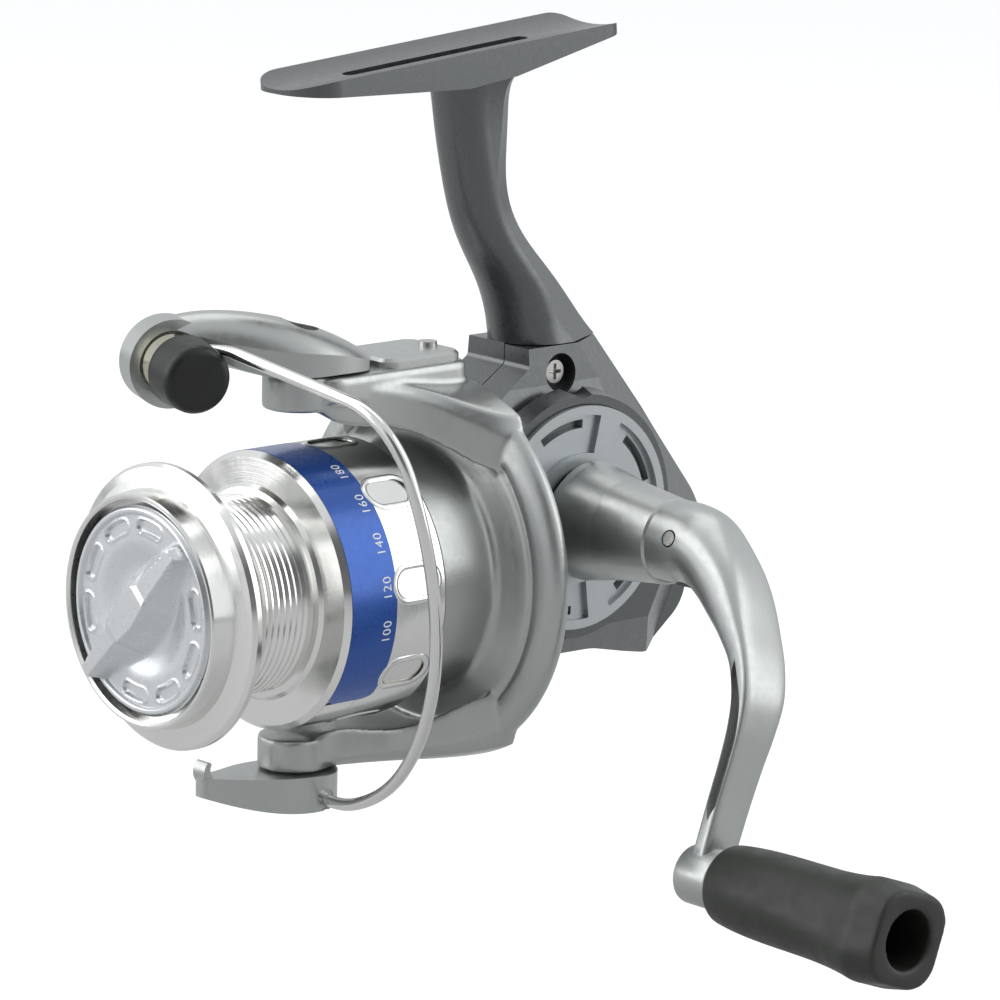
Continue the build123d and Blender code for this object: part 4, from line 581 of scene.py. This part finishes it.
# ------------------------------------------------------------ crank
CRANK_TILT = math.radians(20)
DOWN = Vector((0, -math.sin(CRANK_TILT), -math.cos(CRANK_TILT)))    # from the handle axis
PIN = Vector((0, -math.cos(CRANK_TILT), math.sin(CRANK_TILT)))      # along the hinge pin
HINGE_X, CRANK_R = 41.3, 49.0
CRANK = [  # middle x and s, half thickness, half width along the pin, squareness
    (36.3, 0.0, 6.9, 6.9, 2.0),
    (40.3, 0.0, 6.9, 6.9, 2.0),
    (43.3, 0.3, 6.5, 6.8, 2.0),
    (46.6, 1.7, 5.5, 6.5, 2.2),
    (50.6, 4.4, 4.7, 6.2, 2.6),
    (54.1, 7.6, 3.9, 5.9, 3.1),
    (57.4, 11.1, 2.9, 5.5, 3.8),
    (60.6, 15.2, 2.2, 5.1, 4.6),
    (62.7, 20.0, 1.95, 4.8, 5.0),
    (63.3, 25.0, 1.8, 4.3, 5.0),
    (63.2, 31.0, 1.65, 3.9, 5.0),
    (63.0, 38.0, 1.6, 3.8, 4.6),
    (62.95, 49.0, 1.75, 3.6, 3.8),
]
CRANK_STEPS, CRANK_SIDES = 97, 64
BARREL_END = (36.0, 6.55)                   # x and radius of the rounded edge
BOSS = [(0.5, 59.8), (4.3, 59.8), (4.6, 60.0), (4.7, 60.3), (4.7, 66.5), (4.6, 66.8),
        (4.3, 67.0), (0.5, 67.0)]           # radius and x
SLOT = [(35.0, -3.35), (44.8, -3.35), (44.8, 8.4), (35.0, 8.4)]     # x and s
SLOT_HALF, PIN_HOLE_R, AXLE_HOLE_R = 2.65, 1.42, 2.25
THROUGH, AXLE_THROUGH = 9.0, (58.0, 69.0)   # reach of the cuts
POCKET_OUTER = [(60.6, 15.4), (63.4, 21.0), (64.3, 26.0), (64.2, 31.0), (64.0, 38.0)]
POCKET_INNER = [(63.1, 40.6), (62.3, 38.0), (62.4, 31.0), (62.4, 26.0), (61.7, 21.5),
                (60.5, 18.0)]
POCKET_FLOOR = 2.5                          # from the crank's middle plane


def crank_point(x, s, p):
    """The point x along the handle axis, s along the crank and p along the hinge pin."""
    return HANDLE + mm(x, 0, 0) + (DOWN * s + PIN * p) / 1000


def power(value, n):
    """A cosine or sine, for a section between a circle (2) and a square."""
    return math.copysign(abs(value) ** (2 / n), value)


def prism(outline, p0, p1):
    """An outline of x and s, from one depth along the pin to another."""
    return skin([[crank_point(x, s, p) for x, s in outline] for p in (p0, p1)])


def axle_ring(x, r, count):
    """A ring round the knob's axle."""
    return [crank_point(x, CRANK_R + r * s, r * c) for c, s in circle(count)]


def handle_arm():
    """The crank, from the hinge's barrel round one smooth elbow to the knob's boss."""
    x, r = BARREL_END
    rings = [[crank_point(x, -r * c, r * s) for c, s in circle(CRANK_SIDES)]]
    stations = spline(CRANK, CRANK_STEPS)
    for i, (x, s, thick, wide, n) in enumerate(stations):
        x0, s0 = stations[max(i - 1, 0)][:2]
        x1, s1 = stations[min(i + 1, CRANK_STEPS - 1)][:2]
        across = thick / math.hypot(x1 - x0, s1 - s0)
        nx, ns = (s1 - s0) * across, (x0 - x1) * across
        ring = []
        for cosine, sine in circle(CRANK_SIDES):
            out = power(cosine, n)
            ring.append(crank_point(x + nx * out, s + ns * out, wide * power(sine, n)))
        rings.append(ring)
    obj = piece("crank_arm", skin(rings), "silver", "handle")
    combine(obj, skin([axle_ring(x, r, 64) for r, x in BOSS]), "UNION")
    combine(obj, prism(SLOT, -SLOT_HALF, SLOT_HALF))
    pin_hole = [(HINGE_X + PIN_HOLE_R * c, PIN_HOLE_R * s) for c, s in circle(32)]
    combine(obj, prism(pin_hole, -THROUGH, THROUGH))
    combine(obj, skin([axle_ring(x, AXLE_HOLE_R, 32) for x in AXLE_THROUGH]))
    pocket = spline(POCKET_OUTER, 20) + spline(POCKET_INNER, 20)
    for side in (-1, 1):
        combine(obj, prism(pocket, side * POCKET_FLOOR, side * THROUGH))
    shade(obj.data)
    obj.data.set_sharp_from_angle(angle=CREASE)
    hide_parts("handle_arm")


# ------------------------------------------------------------ castings
BORE_SPARE = 0.12                           # bores are wider by this, on the radius
BAIL_PIVOT = AXIS + mm(0, -19.0, 0)


def cast(node, finish, body, voxel, rounds, bores, keep=None):
    """A CAD piece with its edges and roots run together, as they are in a casting.

    Inside its bores, each a point, a direction and a radius, it isn't softened.
    """
    obj = dress(node + "_cast", nodes[node].data.copy(), finish, body)
    mesh = apply(obj, "REMESH", mode="VOXEL", voxel_size=voxel / 1000)
    soft = []
    for v in mesh.vertices:
        for point, way, radius in bores:
            out = v.co - point
            out -= way * out.dot(way)
            if out.length < radius / 1000:
                v.co += out.normalized() * BORE_SPARE / 1000
                break
        else:
            soft.append(v.index)
    obj.vertex_groups.new(name="soft").add(soft, 1.0, "REPLACE")
    apply(obj, "SMOOTH", factor=0.5, iterations=rounds, vertex_group="soft")
    if keep:
        apply(obj, "DECIMATE", ratio=keep)
    shade(obj.data)
    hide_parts(node)


drag_knob()
spool_shell()
dimple_rims()
label()
skirt_strip()
figures()
roller_cap()
wire_root()
handle_arm()
cast("rotor", "silver", "rotor", voxel=0.3, rounds=15, keep=0.25,
     bores=[(AXIS, ALONG_Y, 7.2), (BAIL_PIVOT, ALONG_Z, 2.6)])
cast("handle_knob", "grip", "handle_grip", voxel=0.4, rounds=14,
     bores=[(crank_point(0, CRANK_R, 0), ALONG_X, 4.2)])

# ------------------------------------------------------------ floor
FLOOR_DROP, FLOOR_REACH = 0.030, 6          # in metres; the folded handle stays clear of it
FLOOR_GREY, FLOOR_GLOW = 0.50, 0.52         # together white to the camera, with the shadow


def floor():
    """A pale floor that takes the shadow. Only camera rays see its glow."""
    z, reach = cad_box[0][2] - FLOOR_DROP, FLOOR_REACH
    square = [(-reach, -reach, z), (reach, -reach, z), (reach, reach, z), (-reach, reach, z)]
    obj = link_new("floor", new_mesh("floor", square, [(0, 1, 2, 3)]))
    mat = Mat("floor_white", (FLOOR_GREY,) * 3, 0.0, 1.0)
    glow = mat.node("ShaderNodeEmission", Color=(1, 1, 1, 1), Strength=FLOOR_GLOW)
    seen = mat.node("ShaderNodeMixShader")
    both = mat.node("ShaderNodeAddShader")
    mat.link(mat.node("ShaderNodeLightPath").outputs["Is Camera Ray"], seen.inputs[0])
    mat.link(glow.outputs[0], seen.inputs[2])
    mat.link(mat.shader.outputs[0], both.inputs[0])
    mat.link(seen.outputs[0], both.inputs[1])
    mat.link(both.outputs[0], mat.tree.nodes["Material Output"].inputs[0])
    obj.data.materials.append(mat.material)


floor()

# ------------------------------------------------------------ light
ROOM_LOW, ROOM_HIGH = 0.62, 0.80            # level of the room, from below and from above
ROOM_SIDES = [                              # direction, low and high cosine, level there
    (-RIGHT, 0.2, 0.9, 1.0),
    (RIGHT, 0.3, 0.9, 1.0),
    (BACK, 0.78, 0.98, 0.16),
    (UP * 0.35 + BACK, 0.93, 0.99, 0.12),
]
LAMP_TARGET = Vector((0.02, 0.0, -0.07))
LAMPS = [                                   # name, direction, width and height in m, level
    ("left", UP * 0.75 - RIGHT * 1.3 + BACK * 0.25, (0.9, 1.1), 1.7),
    ("right", RIGHT * 1.3 + BACK * 0.15 + UP * 0.45, (0.6, 1.1), 1.3),
    ("top", UP * 1.3 - BACK * 0.2, (1.0, 0.6), 1.1),
]


def room():
    """A plain studio: white to the camera, a soft light that differs by direction to the rest."""
    world = scene.world = bpy.data.worlds.new("studio")
    world.use_nodes = True
    tree = world.node_tree
    link = tree.links.new
    coords = add_node(tree, "ShaderNodeTexCoord").outputs["Generated"]

    def toward(direction, low, high):
        """0 to 1 as the cosine with a direction goes from low to high."""
        dot = add_node(tree, "ShaderNodeVectorMath", operation="DOT_PRODUCT")
        dot.inputs[1].default_value = Vector(direction).normalized()
        link(coords, dot.inputs[0])
        band = add_node(tree, "ShaderNodeMapRange", interpolation_type="SMOOTHSTEP",
                        From_Min=low, From_Max=high)
        link(dot.outputs["Value"], band.inputs["Value"])
        return band.outputs["Result"]

    def blend(share, a, b):
        node = add_node(tree, "ShaderNodeMix", data_type="FLOAT")
        link(share, node.inputs[0])
        if isinstance(a, float):
            node.inputs[2].default_value = a
        else:
            link(a, node.inputs[2])
        node.inputs[3].default_value = b
        return node.outputs[0]

    level = blend(toward(ALONG_Z, -0.4, 0.8), ROOM_LOW, ROOM_HIGH)
    for direction, low, high, there in ROOM_SIDES:
        level = blend(toward(direction, low, high), level, there)
    light = tree.nodes["Background"]
    light.inputs["Color"].default_value = (0.96, 0.98, 1.0, 1)
    link(level, light.inputs["Strength"])
    plain = add_node(tree, "ShaderNodeBackground", Color=(1, 1, 1, 1))
    pick = add_node(tree, "ShaderNodeMixShader")
    link(add_node(tree, "ShaderNodeLightPath").outputs["Is Camera Ray"], pick.inputs[0])
    link(light.outputs[0], pick.inputs[1])
    link(plain.outputs[0], pick.inputs[2])
    link(pick.outputs[0], tree.nodes["World Output"].inputs[0])


def lamp(name, direction, size, level):
    """A soft box 1 m away, of the given brightness, where white is 1."""
    data = bpy.data.lights.new(name, "AREA")
    data.shape = "RECTANGLE"
    data.size, data.size_y = size
    data.energy = level * math.pi * size[0] * size[1]
    obj = link_new(name, data)
    obj.location = LAMP_TARGET + direction.normalized()
    obj.rotation_euler = (LAMP_TARGET - obj.location).to_track_quat("-Z", "Y").to_euler()


room()
for settings in LAMPS:
    lamp(*settings)
scene.view_settings.view_transform = "Standard"
